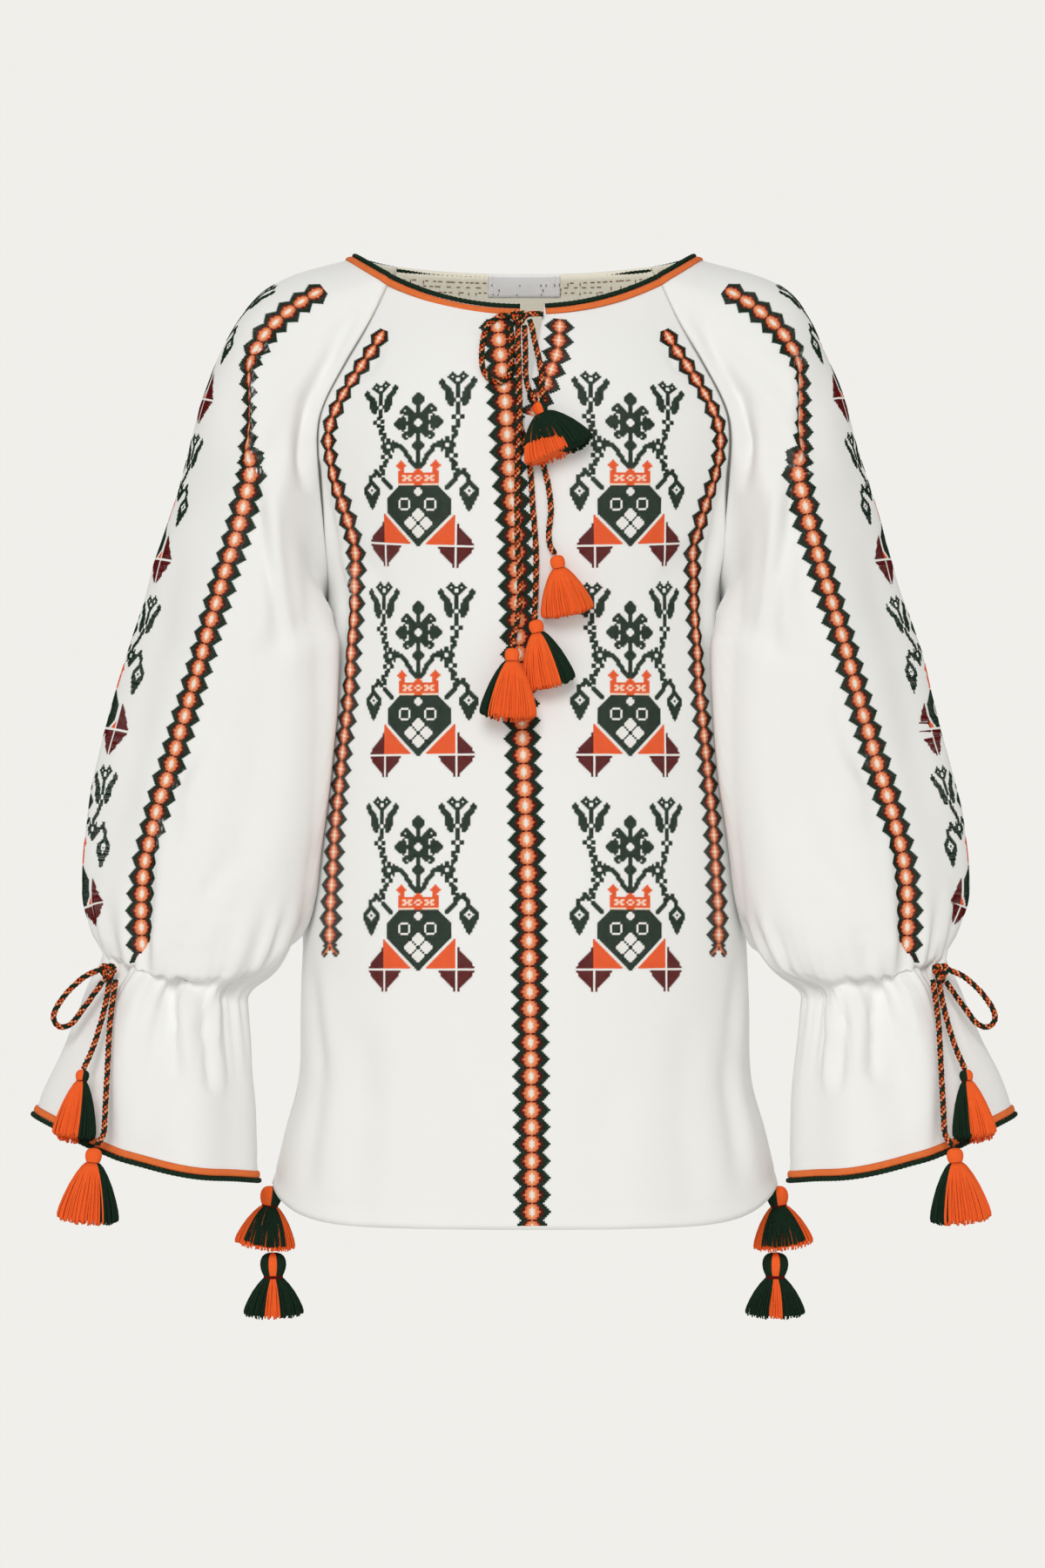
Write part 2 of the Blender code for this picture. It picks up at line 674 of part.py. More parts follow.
def make_tassel(tassel, finish, turned=False):
    """A bound head over a flared skirt, flatter from front to back, leaning as it hangs."""
    flip = -1.0 if turned else 1.0
    top = Vector(tassel.top)
    foot = Vector(tassel.foot)
    top.x *= flip
    foot.x *= flip
    length = (foot - top).length
    head = tassel.head * HEAD_HEIGHT
    outline = [(share * tassel.head, -down * head) for share, down in HEAD_OUTLINE]
    skirt = length - head
    outline += [(share * tassel.radius, -head - down * skirt) for share, down in SKIRT_OUTLINE]
    made = turned_solid(tassel.name, outline, finish)
    hang = (top - foot).normalized()
    aside = Vector((0.0, 1.0, 0.0)).cross(hang).normalized()
    deep = hang.cross(aside)
    turn = Matrix((aside, deep, hang)).transposed().to_4x4()
    made.matrix_world = Matrix.Translation(top * MM) @ turn
    made.scale = (1.0, tassel.depth / tassel.radius, 1.0)
    return made


def make_tassels(orange, green):
    for tassel in TASSELS:
        finish = green if tassel.name in DARK_TASSELS else orange
        if tassel in MIRRORED_TASSELS:
            make_tassel(tassel._replace(name=tassel.name + "_left"), finish)
            make_tassel(tassel._replace(name=tassel.name + "_right"), finish, turned=True)
        else:
            make_tassel(tassel, finish)


# ------------------------------------------------------------------ cords and knots

TIE_DIAMETER = 3.4
TIE_STEP = 9.0  # between the points of a tie's tube
TIE_SMOOTH_STEPS = 12  # between the route's own points

NECK_TIES = {
    "neck_loop": (
        (-10.5, -94.5, -49.5), (-17, -93.8, -48.8), (-24, -96, -53.5), (-29, -100.5, -62),
        (-31, -107, -76), (-30, -112.7, -89), (-25, -115.6, -96.5), (-18, -116.6, -99),
        (-12, -115.4, -95), (-9.5, -111.6, -85), (-9, -107, -73), (-9.6, -101.8, -62),
        (-10, -100.4, -58),
    ),
    "neck_tie_1": (
        (0.2, -101, -57), (0.8, -107.4, -73), (1.2, -115.5, -95), (3.5, -120, -105),
        (7.5, -125, -111.5), (8.8, -126.4, -113),
    ),
    "neck_tie_2": (
        (4, -99, -52.5), (5.8, -101.6, -59), (8, -107.2, -70), (11, -112.6, -83),
        (12.6, -117, -95), (13, -121.2, -112), (12.6, -124, -132), (13.2, -125.2, -155),
        (17.5, -125.5, -175), (19.3, -125.3, -192), (17.8, -124.8, -207), (18.5, -125.4, -217),
        (22, -130, -223.6),
    ),
    "neck_tie_3": (
        (-4.6, -100, -57.5), (-4.6, -107.6, -73), (-4, -115.4, -92), (-3.4, -123.3, -125),
        (-1, -124.2, -138), (4, -125.7, -160), (6.2, -125.8, -190), (8.5, -125.3, -222),
        (8.2, -124.6, -250), (7.6, -127, -264), (7.5, -130, -270.4),
    ),
    "neck_tie_4": (
        (-4.4, -104.6, -57), (-4.4, -111.8, -73), (-3.6, -119.4, -92), (-3.4, -127.4, -125),
        (-4.4, -129, -146), (-5, -127, -170), (-5, -125.6, -213), (-3.2, -124.3, -251),
        (-5.5, -125, -274), (-7.5, -128.5, -284), (-8.4, -133.2, -291),
    ),
    "neck_tie_bridge": ((13.5, -94.6, -47.6), (7, -95.8, -47.4), (2.4, -97, -48)),
}
CUFF_TIES = {
    "cuff_loop": (
        (-310.8, -68.5, -526), (-322, -69.5, -531), (-333.5, -69.5, -541), (-342, -68.5, -552),
        (-345.5, -68, -561.5), (-341, -67.5, -568), (-332.5, -67.5, -566), (-323, -68, -554),
        (-313.8, -69.5, -541.5), (-309.5, -69.5, -535),
    ),
    "cuff_tie_short": (
        (-304, -72, -534.5), (-305.5, -76, -545), (-307.5, -80, -556), (-311, -84.5, -570),
        (-315, -89.5, -583), (-319.8, -96.5, -595), (-320.8, -98.3, -597.4),
    ),
    "cuff_tie_long": (
        (-299.5, -73, -534), (-301, -84, -550), (-302.3, -94, -568), (-303, -100, -590),
        (-303.8, -105, -612), (-304.4, -110, -630), (-305, -114, -643),
        (-308.5, -116, -650), (-311, -117.4, -652.8),
    ),
}
NECK_KNOT = (-4, -99, -50.5)
CUFF_KNOT = (-305.5, -67.5, -528)
KNOT_RADIUS = 4.5
KNOT_SEGMENTS = (10, 7)  # round and up the knot


def tie_points(route):
    """Points a step apart along a smooth curve through a tie's route."""
    count = (len(route) - 1) * TIE_SMOOTH_STEPS
    fine = [smooth_through(route, step / TIE_SMOOTH_STEPS) for step in range(count + 1)]
    length = np.linalg.norm(np.diff(fine, axis=0), axis=1).sum()
    return at_shares(fine, np.linspace(0, 1, max(round(length / TIE_STEP), 3) + 1))


def make_tie(name, route, finish):
    curve = bpy.data.curves.new(name, "CURVE")
    curve.dimensions = "3D"
    curve.bevel_depth = TIE_DIAMETER / 2 * MM
    curve.bevel_resolution = 2
    curve.use_fill_caps = True
    points = tie_points(route)
    spline = curve.splines.new("POLY")
    spline.points.add(len(points) - 1)
    for spot, point in zip(spline.points, points):
        spot.co = (*(point * MM), 1.0)
    curve.materials.append(finish)
    made = bpy.data.objects.new(name, curve)
    PARTS.objects.link(made)


def make_knot(name, place, finish):
    """A small round knot."""
    mesh = bpy.data.meshes.new(name)
    work = bmesh.new()
    around, up = KNOT_SEGMENTS
    bmesh.ops.create_uvsphere(work, u_segments=around, v_segments=up, radius=KNOT_RADIUS * MM)
    work.to_mesh(mesh)
    work.free()
    mesh.materials.append(finish)
    mesh.shade_smooth()
    made = bpy.data.objects.new(name, mesh)
    made.location = Vector(place) * MM
    PARTS.objects.link(made)


def make_ties(finish):
    for name, route in NECK_TIES.items():
        make_tie(name, route, finish)
    make_knot("neck_knot", NECK_KNOT, finish)
    for name, route in CUFF_TIES.items():
        make_tie(f"{name}_left", route, finish)
        make_tie(f"{name}_right", mirrored(route), finish)
    make_knot("cuff_knot_left", CUFF_KNOT, finish)
    make_knot("cuff_knot_right", mirrored(CUFF_KNOT), finish)


# ------------------------------------------------------------------ build

fresh_scene()
PARTS = bpy.data.collections.new("embroidered_blouse")
bpy.context.scene.collection.children.link(PARTS)

WHITE_CLOTH = material("white_cloth", (0.86, 0.855, 0.84), 0.85)
GREEN_YARN = material("dark_green_yarn", (0.02, 0.045, 0.03), 0.8)
ORANGE_YARN = material("orange_yarn", (0.85, 0.16, 0.04), 0.75)
BRAIDED_TIE = material("braided_tie", (0.45, 0.12, 0.06), 0.8)
WOVEN_TAB = material("white_woven_tab", (0.8, 0.8, 0.82), 0.6)

make_front(WHITE_CLOTH)
make_back(WHITE_CLOTH)
make_sleeves(WHITE_CLOTH)

NECK_LINE, NECK_BELOW = neck_line()
make_trims(("neck", ""), NECK_LINE, NECK_BELOW, False, GREEN_YARN, ORANGE_YARN)
CUFF_LINE, CUFF_ABOVE = cuff_line(seam_shares())
for cuff_side, cuff_turned in (("_left", False), ("_right", True)):
    make_trims(("cuff", cuff_side), CUFF_LINE, CUFF_ABOVE, True, GREEN_YARN, ORANGE_YARN, cuff_turned)

make_label(WOVEN_TAB)
make_tassels(ORANGE_YARN, GREEN_YARN)
make_ties(BRAIDED_TIE)
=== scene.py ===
import math
from collections import namedtuple

import bpy
import numpy as np
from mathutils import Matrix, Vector
from mathutils.bvhtree import BVHTree


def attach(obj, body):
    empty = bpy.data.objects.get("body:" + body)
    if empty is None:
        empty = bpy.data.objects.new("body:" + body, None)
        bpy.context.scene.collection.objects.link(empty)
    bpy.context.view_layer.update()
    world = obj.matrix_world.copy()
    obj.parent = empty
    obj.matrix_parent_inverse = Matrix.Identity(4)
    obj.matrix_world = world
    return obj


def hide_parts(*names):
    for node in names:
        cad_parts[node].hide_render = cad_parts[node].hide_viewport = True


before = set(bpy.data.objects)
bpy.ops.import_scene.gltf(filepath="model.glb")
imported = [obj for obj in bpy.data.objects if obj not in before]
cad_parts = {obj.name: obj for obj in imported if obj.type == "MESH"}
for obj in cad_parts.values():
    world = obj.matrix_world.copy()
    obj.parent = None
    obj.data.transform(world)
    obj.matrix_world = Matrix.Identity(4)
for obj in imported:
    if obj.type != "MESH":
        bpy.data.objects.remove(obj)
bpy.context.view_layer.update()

# Lengths are in millimetres until a mesh is made.  The left sleeve, at -X, is the one described.
MM = 0.001
RNG = np.random.default_rng(11)


# ------------------------------------------------------------------ camera, light and floor

CAMERA_DISTANCE = 4.0
CAMERA_HEIGHT = -0.39
VIEW_HEIGHT = 1.17  # how much of the object's plane the frame shows


def srgb(red, green, blue):
    """Linear values of a colour given in 0 to 255."""
    values = []
    for channel in (red, green, blue):
        share = channel / 255
        values.append(share / 12.92 if share < 0.04045 else ((share + 0.055) / 1.055) ** 2.4)
    return tuple(values)


def link(made):
    bpy.context.scene.collection.objects.link(made)
    return made


def make_camera():
    data = bpy.data.cameras.new("camera")
    data.sensor_fit = "VERTICAL"
    data.sensor_height = 36.0
    data.lens = data.sensor_height * CAMERA_DISTANCE / VIEW_HEIGHT
    camera = link(bpy.data.objects.new("camera", data))
    camera.location = (-0.0013, -CAMERA_DISTANCE, CAMERA_HEIGHT)
    camera.rotation_euler = (math.pi / 2, 0, 0)
    bpy.context.scene.camera = camera


PALE = srgb(240, 239, 235)
DIM = tuple(0.38 * value for value in PALE)
ROOM_HEIGHTS = (0.17, 0.4)  # directions this high are still pale, and from here on dim
# Name, energy, angular width, tilt from overhead and turn, with angles in degrees.
SUNS = (("key_light", 1.34, 24, 64, -6), ("back_light", 0.5, 20, 60, 190))
FLOOR_Z = -3.0
FLOOR_REACH = 40
FLOOR_BACK = 13.5  # the floor ends behind the object, below the camera's view


def make_light():
    """A room pale at eye level and dimmer above and below, a wide soft light and a weaker one behind."""
    world = bpy.data.worlds.new("pale_room")
    bpy.context.scene.world = world
    world.use_nodes = True
    nodes, links = world.node_tree.nodes, world.node_tree.links
    split = nodes.new("ShaderNodeSeparateXYZ")
    links.new(nodes.new("ShaderNodeTexCoord").outputs["Generated"], split.inputs[0])
    height = nodes.new("ShaderNodeMath")
    height.operation = "ABSOLUTE"
    links.new(split.outputs["Z"], height.inputs[0])
    ramp = nodes.new("ShaderNodeValToRGB")
    for stop, place, colour in zip(ramp.color_ramp.elements, ROOM_HEIGHTS, (PALE, DIM)):
        stop.position = place
        stop.color = (*colour, 1)
    links.new(height.outputs[0], ramp.inputs[0])
    links.new(ramp.outputs[0], nodes["Background"].inputs["Color"])
    for name, energy, wide, up, around in SUNS:
        data = bpy.data.lights.new(name, "SUN")
        data.energy = energy
        data.angle = math.radians(wide)
        sun = link(bpy.data.objects.new(name, data))
        sun.rotation_euler = (math.radians(up), 0, math.radians(around))
    bpy.context.scene.view_settings.view_transform = "Standard"


def make_floor():
    mesh = bpy.data.meshes.new("floor")
    corners = ((-1, -FLOOR_REACH), (1, -FLOOR_REACH), (1, FLOOR_BACK), (-1, FLOOR_BACK))
    mesh.from_pydata([(x * FLOOR_REACH, y, FLOOR_Z) for x, y in corners], [], [(0, 1, 2, 3)])
    mesh.materials.append(finish("pale_floor", (243, 242, 239), rough=0.95, vary=0.01, scale=2))
    link(bpy.data.objects.new("floor", mesh))


# ------------------------------------------------------------------ materials


THREAD = 0.6  # from one thread of the cloth to the next
WEAVE_DEPTH, GRAIN_DEPTH = 0.0001, 0.0003


def finish(name, colour, rough=0.85, sheen=0.0, vary=0.05, scale=350, bump=0.0, grain=900.0, weave=0.0):
    """Cloth, yarn or floor: colour that varies softly, and a grain or a woven bump."""
    made = bpy.data.materials.new(name)
    made.use_nodes = True
    nodes, links = made.node_tree.nodes, made.node_tree.links
    shader = nodes["Principled BSDF"]
    shader.inputs["Roughness"].default_value = rough
    shader.inputs["Specular IOR Level"].default_value = 0.25 if weave else 0.08
    if sheen:
        shader.inputs["Sheen Weight"].default_value = sheen
        shader.inputs["Sheen Roughness"].default_value = 0.5
    linear = srgb(*colour)
    place = nodes.new("ShaderNodeTexCoord").outputs["Object"]
    noise = nodes.new("ShaderNodeTexNoise")
    noise.inputs["Scale"].default_value = scale
    noise.inputs["Detail"].default_value = 4.0
    links.new(place, noise.inputs["Vector"])
    mix = nodes.new("ShaderNodeMix")
    mix.data_type = "RGBA"
    mix.inputs[6].default_value = (*(value * (1 - vary) for value in linear), 1)
    mix.inputs[7].default_value = (*(min(value * (1 + vary), 1) for value in linear), 1)
    links.new(noise.outputs["Fac"], mix.inputs[0])
    links.new(mix.outputs[2], shader.inputs["Base Color"])
    height = None
    if weave:
        threads = nodes.new("ShaderNodeUVMap")
        threads.uv_map = "weave"
        waves = []
        for direction in ("X", "Y"):
            wave = nodes.new("ShaderNodeTexWave")
            wave.bands_direction = direction
            wave.inputs["Scale"].default_value = 2 * math.pi / 20 / THREAD
            wave.inputs["Distortion"].default_value = 0.6
            wave.inputs["Detail Scale"].default_value = 0.4
            links.new(threads.outputs["UV"], wave.inputs["Vector"])
            waves.append(wave)
        both = nodes.new("ShaderNodeMath")
        both.operation = "MULTIPLY"
        links.new(waves[0].outputs["Fac"], both.inputs[0])
        links.new(waves[1].outputs["Fac"], both.inputs[1])
        height, strength, depth = both.outputs[0], weave, WEAVE_DEPTH
    elif bump:
        fine = nodes.new("ShaderNodeTexNoise")
        fine.inputs["Scale"].default_value = grain
        links.new(place, fine.inputs["Vector"])
        height, strength, depth = fine.outputs["Fac"], bump, GRAIN_DEPTH
    if height is not None:
        relief = nodes.new("ShaderNodeBump")
        relief.inputs["Strength"].default_value = strength
        relief.inputs["Distance"].default_value = depth
        links.new(height, relief.inputs["Height"])
        links.new(relief.outputs["Normal"], shader.inputs["Normal"])
    return made


make_camera()
make_light()
make_floor()

LINEN = finish("white_linen", (245, 245, 243), rough=0.9, sheen=0.1, vary=0.012, scale=14, weave=0.3)
# The wrong side round the neck: a cream tint painted in for the warm shade inside the back neck, made
# brighter than the cloth to lift that shade.
LINEN_PAINTED_WARM_SHADE = finish("linen_wrong_side_painted_warm_shade", (255, 248, 230), rough=0.95, vary=0.02, scale=30,
                    weave=0.4)
LINEN_INSIDE = finish("white_linen_wrong_side", (250, 249, 247), rough=0.95, vary=0.012, scale=30,
                      weave=0.4)
TAB = finish("white_woven_tab", (254, 253, 255), rough=0.6, vary=0.01, scale=60, bump=0.3, grain=1500)
YARNS = {
    "G": finish("dark_green_yarn", (27, 46, 33), rough=0.9, vary=0.3, bump=0.5),
    "O": finish("orange_yarn", (238, 92, 36), vary=0.12, scale=300, bump=0.5),
    "T": finish("bright_orange_yarn", (250, 104, 46), rough=0.75, vary=0.1, scale=300, bump=0.5),
    "R": finish("dark_red_yarn", (92, 17, 16), rough=0.9, vary=0.25, bump=0.5),
    "P": finish("peach_yarn", (238, 148, 100), vary=0.1, bump=0.4),
    "L": finish("light_peach_yarn", (251, 217, 194), bump=0.4),
    "W": finish("white_yarn", (243, 241, 236), vary=0.03, bump=0.4),
    "B": finish("brown_yarn", (146, 112, 88), rough=0.9, vary=0.2, scale=300, bump=0.4),
    "C": finish("coral_yarn", (214, 108, 66), vary=0.16, scale=320, bump=0.4),
}
TAPE = finish("burnt_orange_braid", (232, 118, 62), vary=0.14, scale=260, bump=0.6)
YARN_ORDER = list(YARNS)


# ------------------------------------------------------------------ curves and meshes


def smooth(points, places):
    """Points at these places, in rows, of a smooth curve through rows of numbers."""
    points = np.asarray(points, float)
    places = np.atleast_1d(np.asarray(places, float))
    ends = np.concatenate((2 * points[:1] - points[1:2], points, 2 * points[-1:] - points[-2:-1]))
    row = np.clip(np.floor(places).astype(int), 0, len(points) - 2)
    way = (places - row).reshape((-1,) + (1,) * (points.ndim - 1))
    before, here, after, beyond = ends[row], ends[row + 1], ends[row + 2], ends[row + 3]
    return 0.5 * (2 * here + (after - before) * way
                  + (2 * before - 5 * here + 4 * after - beyond) * way**2
                  + (3 * here - before - 3 * after + beyond) * way**3)


def unit(vectors):
    return vectors / np.maximum(np.linalg.norm(vectors, axis=-1, keepdims=True), 1e-9)


def lengths_along(points):
    steps = np.linalg.norm(np.diff(points, axis=0), axis=-1)
    return np.concatenate(([0.0], np.cumsum(steps)))


def at_shares(points, shares):
    """Points of a polyline at these shares of its length."""
    points = np.asarray(points, float)
    along = lengths_along(points)
    places = np.asarray(shares, float) * along[-1]
    return np.stack([np.interp(places, along, points[:, axis]) for axis in range(3)], axis=1)


def route_points(route, step):
    """Points about this far apart along a smooth curve through a route."""
    fine = smooth(route, np.linspace(0, len(route) - 1, (len(route) - 1) * 12 + 1))
    count = max(int(round(lengths_along(fine)[-1] / step)), 3)
    return at_shares(fine, np.linspace(0, 1, count + 1))


class Pile:
    """Points and faces that become one mesh, with a yarn for each face."""

    def __init__(self):
        self.points, self.faces, self.slots, self.count = [], [], [], 0

    def add(self, points, faces, slot=0):
        points = np.asarray(points, float).reshape(-1, 3)
        faces = np.asarray(faces, int)
        self.points.append(points)
        self.faces += (faces + self.count).tolist()
        self.slots += list(np.broadcast_to(slot, len(faces)))
        self.count += len(points)

    def make(self, name, replaced=None, finishes=None):
        """The piece, with the solid it replaces; its finishes are the yarns if none are given."""
        points = np.concatenate(self.points) * MM
        mesh = bpy.data.meshes.new(name)
        mesh.from_pydata(points.tolist(), [], self.faces)
        for made in finishes or YARNS.values():
            mesh.materials.append(made)
        mesh.polygons.foreach_set("material_index", np.array(self.slots, dtype=np.int32))
        mesh.polygons.foreach_set("use_smooth", np.full(len(self.faces), True))
        mesh.update()
        piece = link(bpy.data.objects.new(name, mesh))
        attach(piece, "root")
        if replaced:
            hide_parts(replaced)
        return piece


def grid_faces(rows, columns, closed=False, wrapped=False, downward=False):
    """Faces of a grid of points whose rows or columns may join up; downward ones run down first."""
    faces = []
    for row in range(rows if closed else rows - 1):
        after = (row + 1) % rows
        for column in range(columns if wrapped else columns - 1):
            beside = (column + 1) % columns
            face = (row * columns + column, row * columns + beside,
                    after * columns + beside, after * columns + column)
            faces.append((face[0], face[3], face[2], face[1]) if downward else face)
    return faces


def run_of(line, closed):
    """Directions along a line of points."""
    if closed:
        return unit(np.roll(line, -1, axis=0) - np.roll(line, 1, axis=0))
    return unit(np.gradient(line, axis=0))


def across_line(along, first):
    """Two directions across a line at each point, carried along it without twisting."""
    first = np.array(first)
    up = np.zeros_like(along)
    for row, way in enumerate(along):
        first = first - (first @ way) * way
        first /= np.linalg.norm(first)
        up[row] = first
    return up, np.cross(along, up)


def tube(pile, line, radius, sides, slot, closed=False):
    """A tube round a line of points; radius may differ at each point."""
    line = np.asarray(line, float)
    along = run_of(line, closed)
    up, aside = across_line(along, (0.0, 0.0, 1.0) if abs(along[0][2]) < 0.9 else (0.0, 1.0, 0.0))
    turns = np.arange(sides) * 2 * math.pi / sides
    radius = np.broadcast_to(radius, len(line))[:, None, None]
    points = line[:, None] + radius * (np.cos(turns)[None, :, None] * up[:, None]
                                       + np.sin(turns)[None, :, None] * aside[:, None])
    start = pile.count
    pile.add(points, grid_faces(len(line), sides, closed, True), slot)
    if not closed:
        last = start + (len(line) - 1) * sides
        pile.faces.append(list(range(start + sides - 1, start - 1, -1)))
        pile.faces.append(list(range(last, last + sides)))
        pile.slots += [slot, slot]


# ------------------------------------------------------------------ cords, first of all the pieces

TIE_DIAMETER = 4.4
TIE_STEP = 1.3
BRAID_PITCH = 10.5
BRAID_YARNS = "OGPGRG"
KNOT_BRAID = (4.2, 9.0)  # diameter and pitch

NECK_TIES = {
    "neck_loop": (
        (-10.5, -94.5, -49.5), (-17, -93.8, -48.8), (-24, -96, -53.5), (-29, -100.5, -62),
        (-31, -107, -76), (-30, -112.7, -89), (-25, -115.6, -96.5), (-18, -116.6, -99),
        (-12, -115.4, -95), (-9.5, -111.6, -85), (-9, -107, -73), (-9.6, -101.8, -62),
        (-10, -100.4, -58),
    ),
    "neck_tie_1": (
        (0.2, -101, -57), (0.8, -107.4, -73), (1.2, -115.5, -95), (3.5, -120, -105),
        (7.5, -125, -111.5), (8.8, -126.4, -113),
    ),
    "neck_tie_2": (
        (4, -99, -52.5), (5.8, -101.6, -59), (8, -107.2, -70), (11, -112.6, -83),
        (12.6, -117, -95), (13, -121.2, -112), (12.6, -124, -132), (13.2, -125.2, -155),
        (17.5, -125.5, -175), (19.3, -125.3, -192), (17.8, -124.8, -207), (18.5, -125.4, -217),
        (22, -130, -223.6),
    ),
    "neck_tie_3": (
        (-4.6, -100, -57.5), (-4.6, -107.6, -73), (-4, -115.4, -92), (-3.4, -123.3, -125),
        (-1, -124.2, -138), (4, -125.7, -160), (6.2, -125.8, -190), (8.5, -125.3, -222),
        (8.2, -124.6, -250), (7.6, -127, -264), (7.5, -130, -270.4),
    ),
    "neck_tie_4": (
        (-4.4, -104.6, -57), (-4.4, -111.8, -73), (-3.6, -119.4, -92), (-3.4, -127.4, -125),
        (-4.4, -129, -146), (-5, -127, -170), (-5, -125.6, -213), (-3.2, -124.3, -251),
        (-5.5, -125, -274), (-7.5, -128.5, -284), (-8.4, -133.2, -291),
    ),
    "neck_tie_bridge": ((13.5, -94.6, -47.6), (7, -95.8, -47.4), (2.4, -97, -48)),
}
CUFF_TIES = {
    "cuff_loop": (
        (-310.8, -68.5, -526), (-322, -69.5, -531), (-333.5, -69.5, -541), (-342, -68.5, -552),
        (-345.5, -68, -561.5), (-341, -67.5, -568), (-332.5, -67.5, -566), (-323, -68, -554),
        (-313.8, -69.5, -541.5), (-309.5, -69.5, -535),
    ),
    "cuff_tie_short": (
        (-304, -72, -534.5), (-305.5, -76, -545), (-307.5, -80, -556), (-311, -84.5, -570),
        (-315, -89.5, -583), (-319.8, -96.5, -595), (-320.8, -98.3, -597.4),
    ),
    "cuff_tie_long": (
        (-299.5, -73, -534), (-301, -84, -550), (-302.3, -94, -568), (-303, -100, -590),
        (-303.8, -105, -612), (-304.4, -110, -630), (-305, -114, -643),
        (-308.5, -116, -650), (-311, -117.4, -652.8),
    ),
}
# Places of the knots and their reach.
NECK_KNOT = (-4, -99, -50.5), (1.7, 1.9, 1.5)
CUFF_KNOT = (-305.5, -67.5, -528), (1.6, 2.0, 2.3)
SIDES = (("left", 1.0), ("right", -1.0))


def flipped(points, sign):
    return np.asarray(points, float) * np.array((sign, 1.0, 1.0))


def braid_yarns(pile, line, diameter=TIE_DIAMETER, pitch=BRAID_PITCH):
    """Yarns braided round a line: half wind one way and half the other, over and under."""
    line = np.asarray(line, float)
    along = lengths_along(line)
    up, aside = across_line(run_of(line, False), (0.3, 1.0, 0.2))
    count = len(BRAID_YARNS)
    for yarn, slot in enumerate(BRAID_YARNS):
        hand = 1 if yarn < count / 2 else -1
        turn = hand * 2 * math.pi * along / pitch + (yarn % (count // 2)) * 4 * math.pi / count
        over = diameter * (0.27 + 0.05 * hand * np.sin(count * math.pi * along / pitch + yarn))
        centre = line + over[:, None] * (np.cos(turn)[:, None] * up + np.sin(turn)[:, None] * aside)
        tube(pile, centre, diameter * 0.24, 5, YARN_ORDER.index(slot))


def make_tie(name, route):
    pile = Pile()
    line = route_points(route, TIE_STEP)
    braid_yarns(pile, line)
    return pile.make(name + "_braid", name), line


def make_knot(name, place, reach, sign=1.0):
    """A knot: one closed turn of the braid, crossing itself three times, over the ties' starts."""
    turns = np.linspace(0, 2 * math.pi, 70)
    wind = np.stack((np.sin(turns) + 2 * np.sin(2 * turns), np.sin(3 * turns),
                     np.cos(turns) - 2 * np.cos(2 * turns)), axis=1)
    pile = Pile()
    braid_yarns(pile, flipped(np.asarray(place) + wind * np.asarray(reach), sign), *KNOT_BRAID)
    pile.make(name + "_braid", name)


# ------------------------------------------------------------------ tassels

# A tassel hangs from its top to the middle of its skirt's lower edge.  The letters name yarns over
# equal shares of its width, from the viewer's left: of its head, of its skirt, and of a shorter
# layer over the skirt, where a full stop leaves the skirt bare.  The layer's lengths are shares of
# the skirt's length at those places.
Tassel = namedtuple("Tassel", "name top foot radius depth head head_yarns yarns layer lengths")
TASSELS = (
    Tassel("neck_tassel_1", (9.5, -127, -114), (26, -139.5, -153), 25, 9.5, 5.0, "OTG", "TTTTTTGGG",
           "GGGGGGGGG", (0.52, 0.54, 0.56, 0.6, 0.64, 0.72, 0.98, 1.0, 1.0)),
    Tassel("neck_tassel_2", (23, -131.5, -225), (32, -132, -269), 19, 9.5, 5.0, "T", "TTTTT", "", ()),
    Tassel("neck_tassel_3", (7.5, -130.5, -271.5), (19, -131, -321), 19, 8.5, 5.0, "T", "TTTTTTGG",
           "", ()),
    Tassel("neck_tassel_4", (-8.5, -134, -292), (-12, -142.5, -344), 20, 8.5, 5.0, "T", "GTTTTTTT",
           "", ()),
    Tassel("cuff_tassel_upper", (-321, -99, -598), (-327, -117.5, -648), 15.5, 9, 4.6, "TG", "TTTTTGGG",
           "", ()),
    Tassel("cuff_tassel_lower", (-311.5, -118, -653.6), (-316.5, -122, -709), 22, 13, 5.6, "T",
           "TTTTTTTTGG", "", ()),
    Tassel("side_tassel_upper", (-188, 0, -690), (-194, 0, -737), 22, 17, 7.5, "TTTGG", "TTTTTTT",
           ".GGGGG.", (0, 0.85, 0.88, 0.9, 0.9, 0.86, 0)),
    Tassel("side_tassel_lower", (-187.5, 0, -739.5), (-187, 0, -788), 22, 17, 9.0, "GGTTGG", "GGGTTGGG",
           "", ()),
)
HEAD_OUTLINE = ((0.0, 0.0), (0.5, 0.03), (0.86, 0.18), (1.0, 0.45), (0.92, 0.75), (0.7, 1.0))
HEAD_RISE = 2.0  # a head's height, in its radii
HEAD_RIBS = 26
BINDING_STEP = 0.75
SKIRT_OUTLINE = ((0.22, 0.0), (0.4, 0.1), (0.66, 0.34), (0.87, 0.64), (0.99, 0.9), (0.98, 1.0))
# Layers of hanging yarns: their share of the skirt's reach, count and thickness; the last lies over.
SKIRT_LAYERS = ((1.0, 80, 0.66), (0.78, 26, 0.8), (1.06, 170, 0.68))
CORE_SIDES = 24


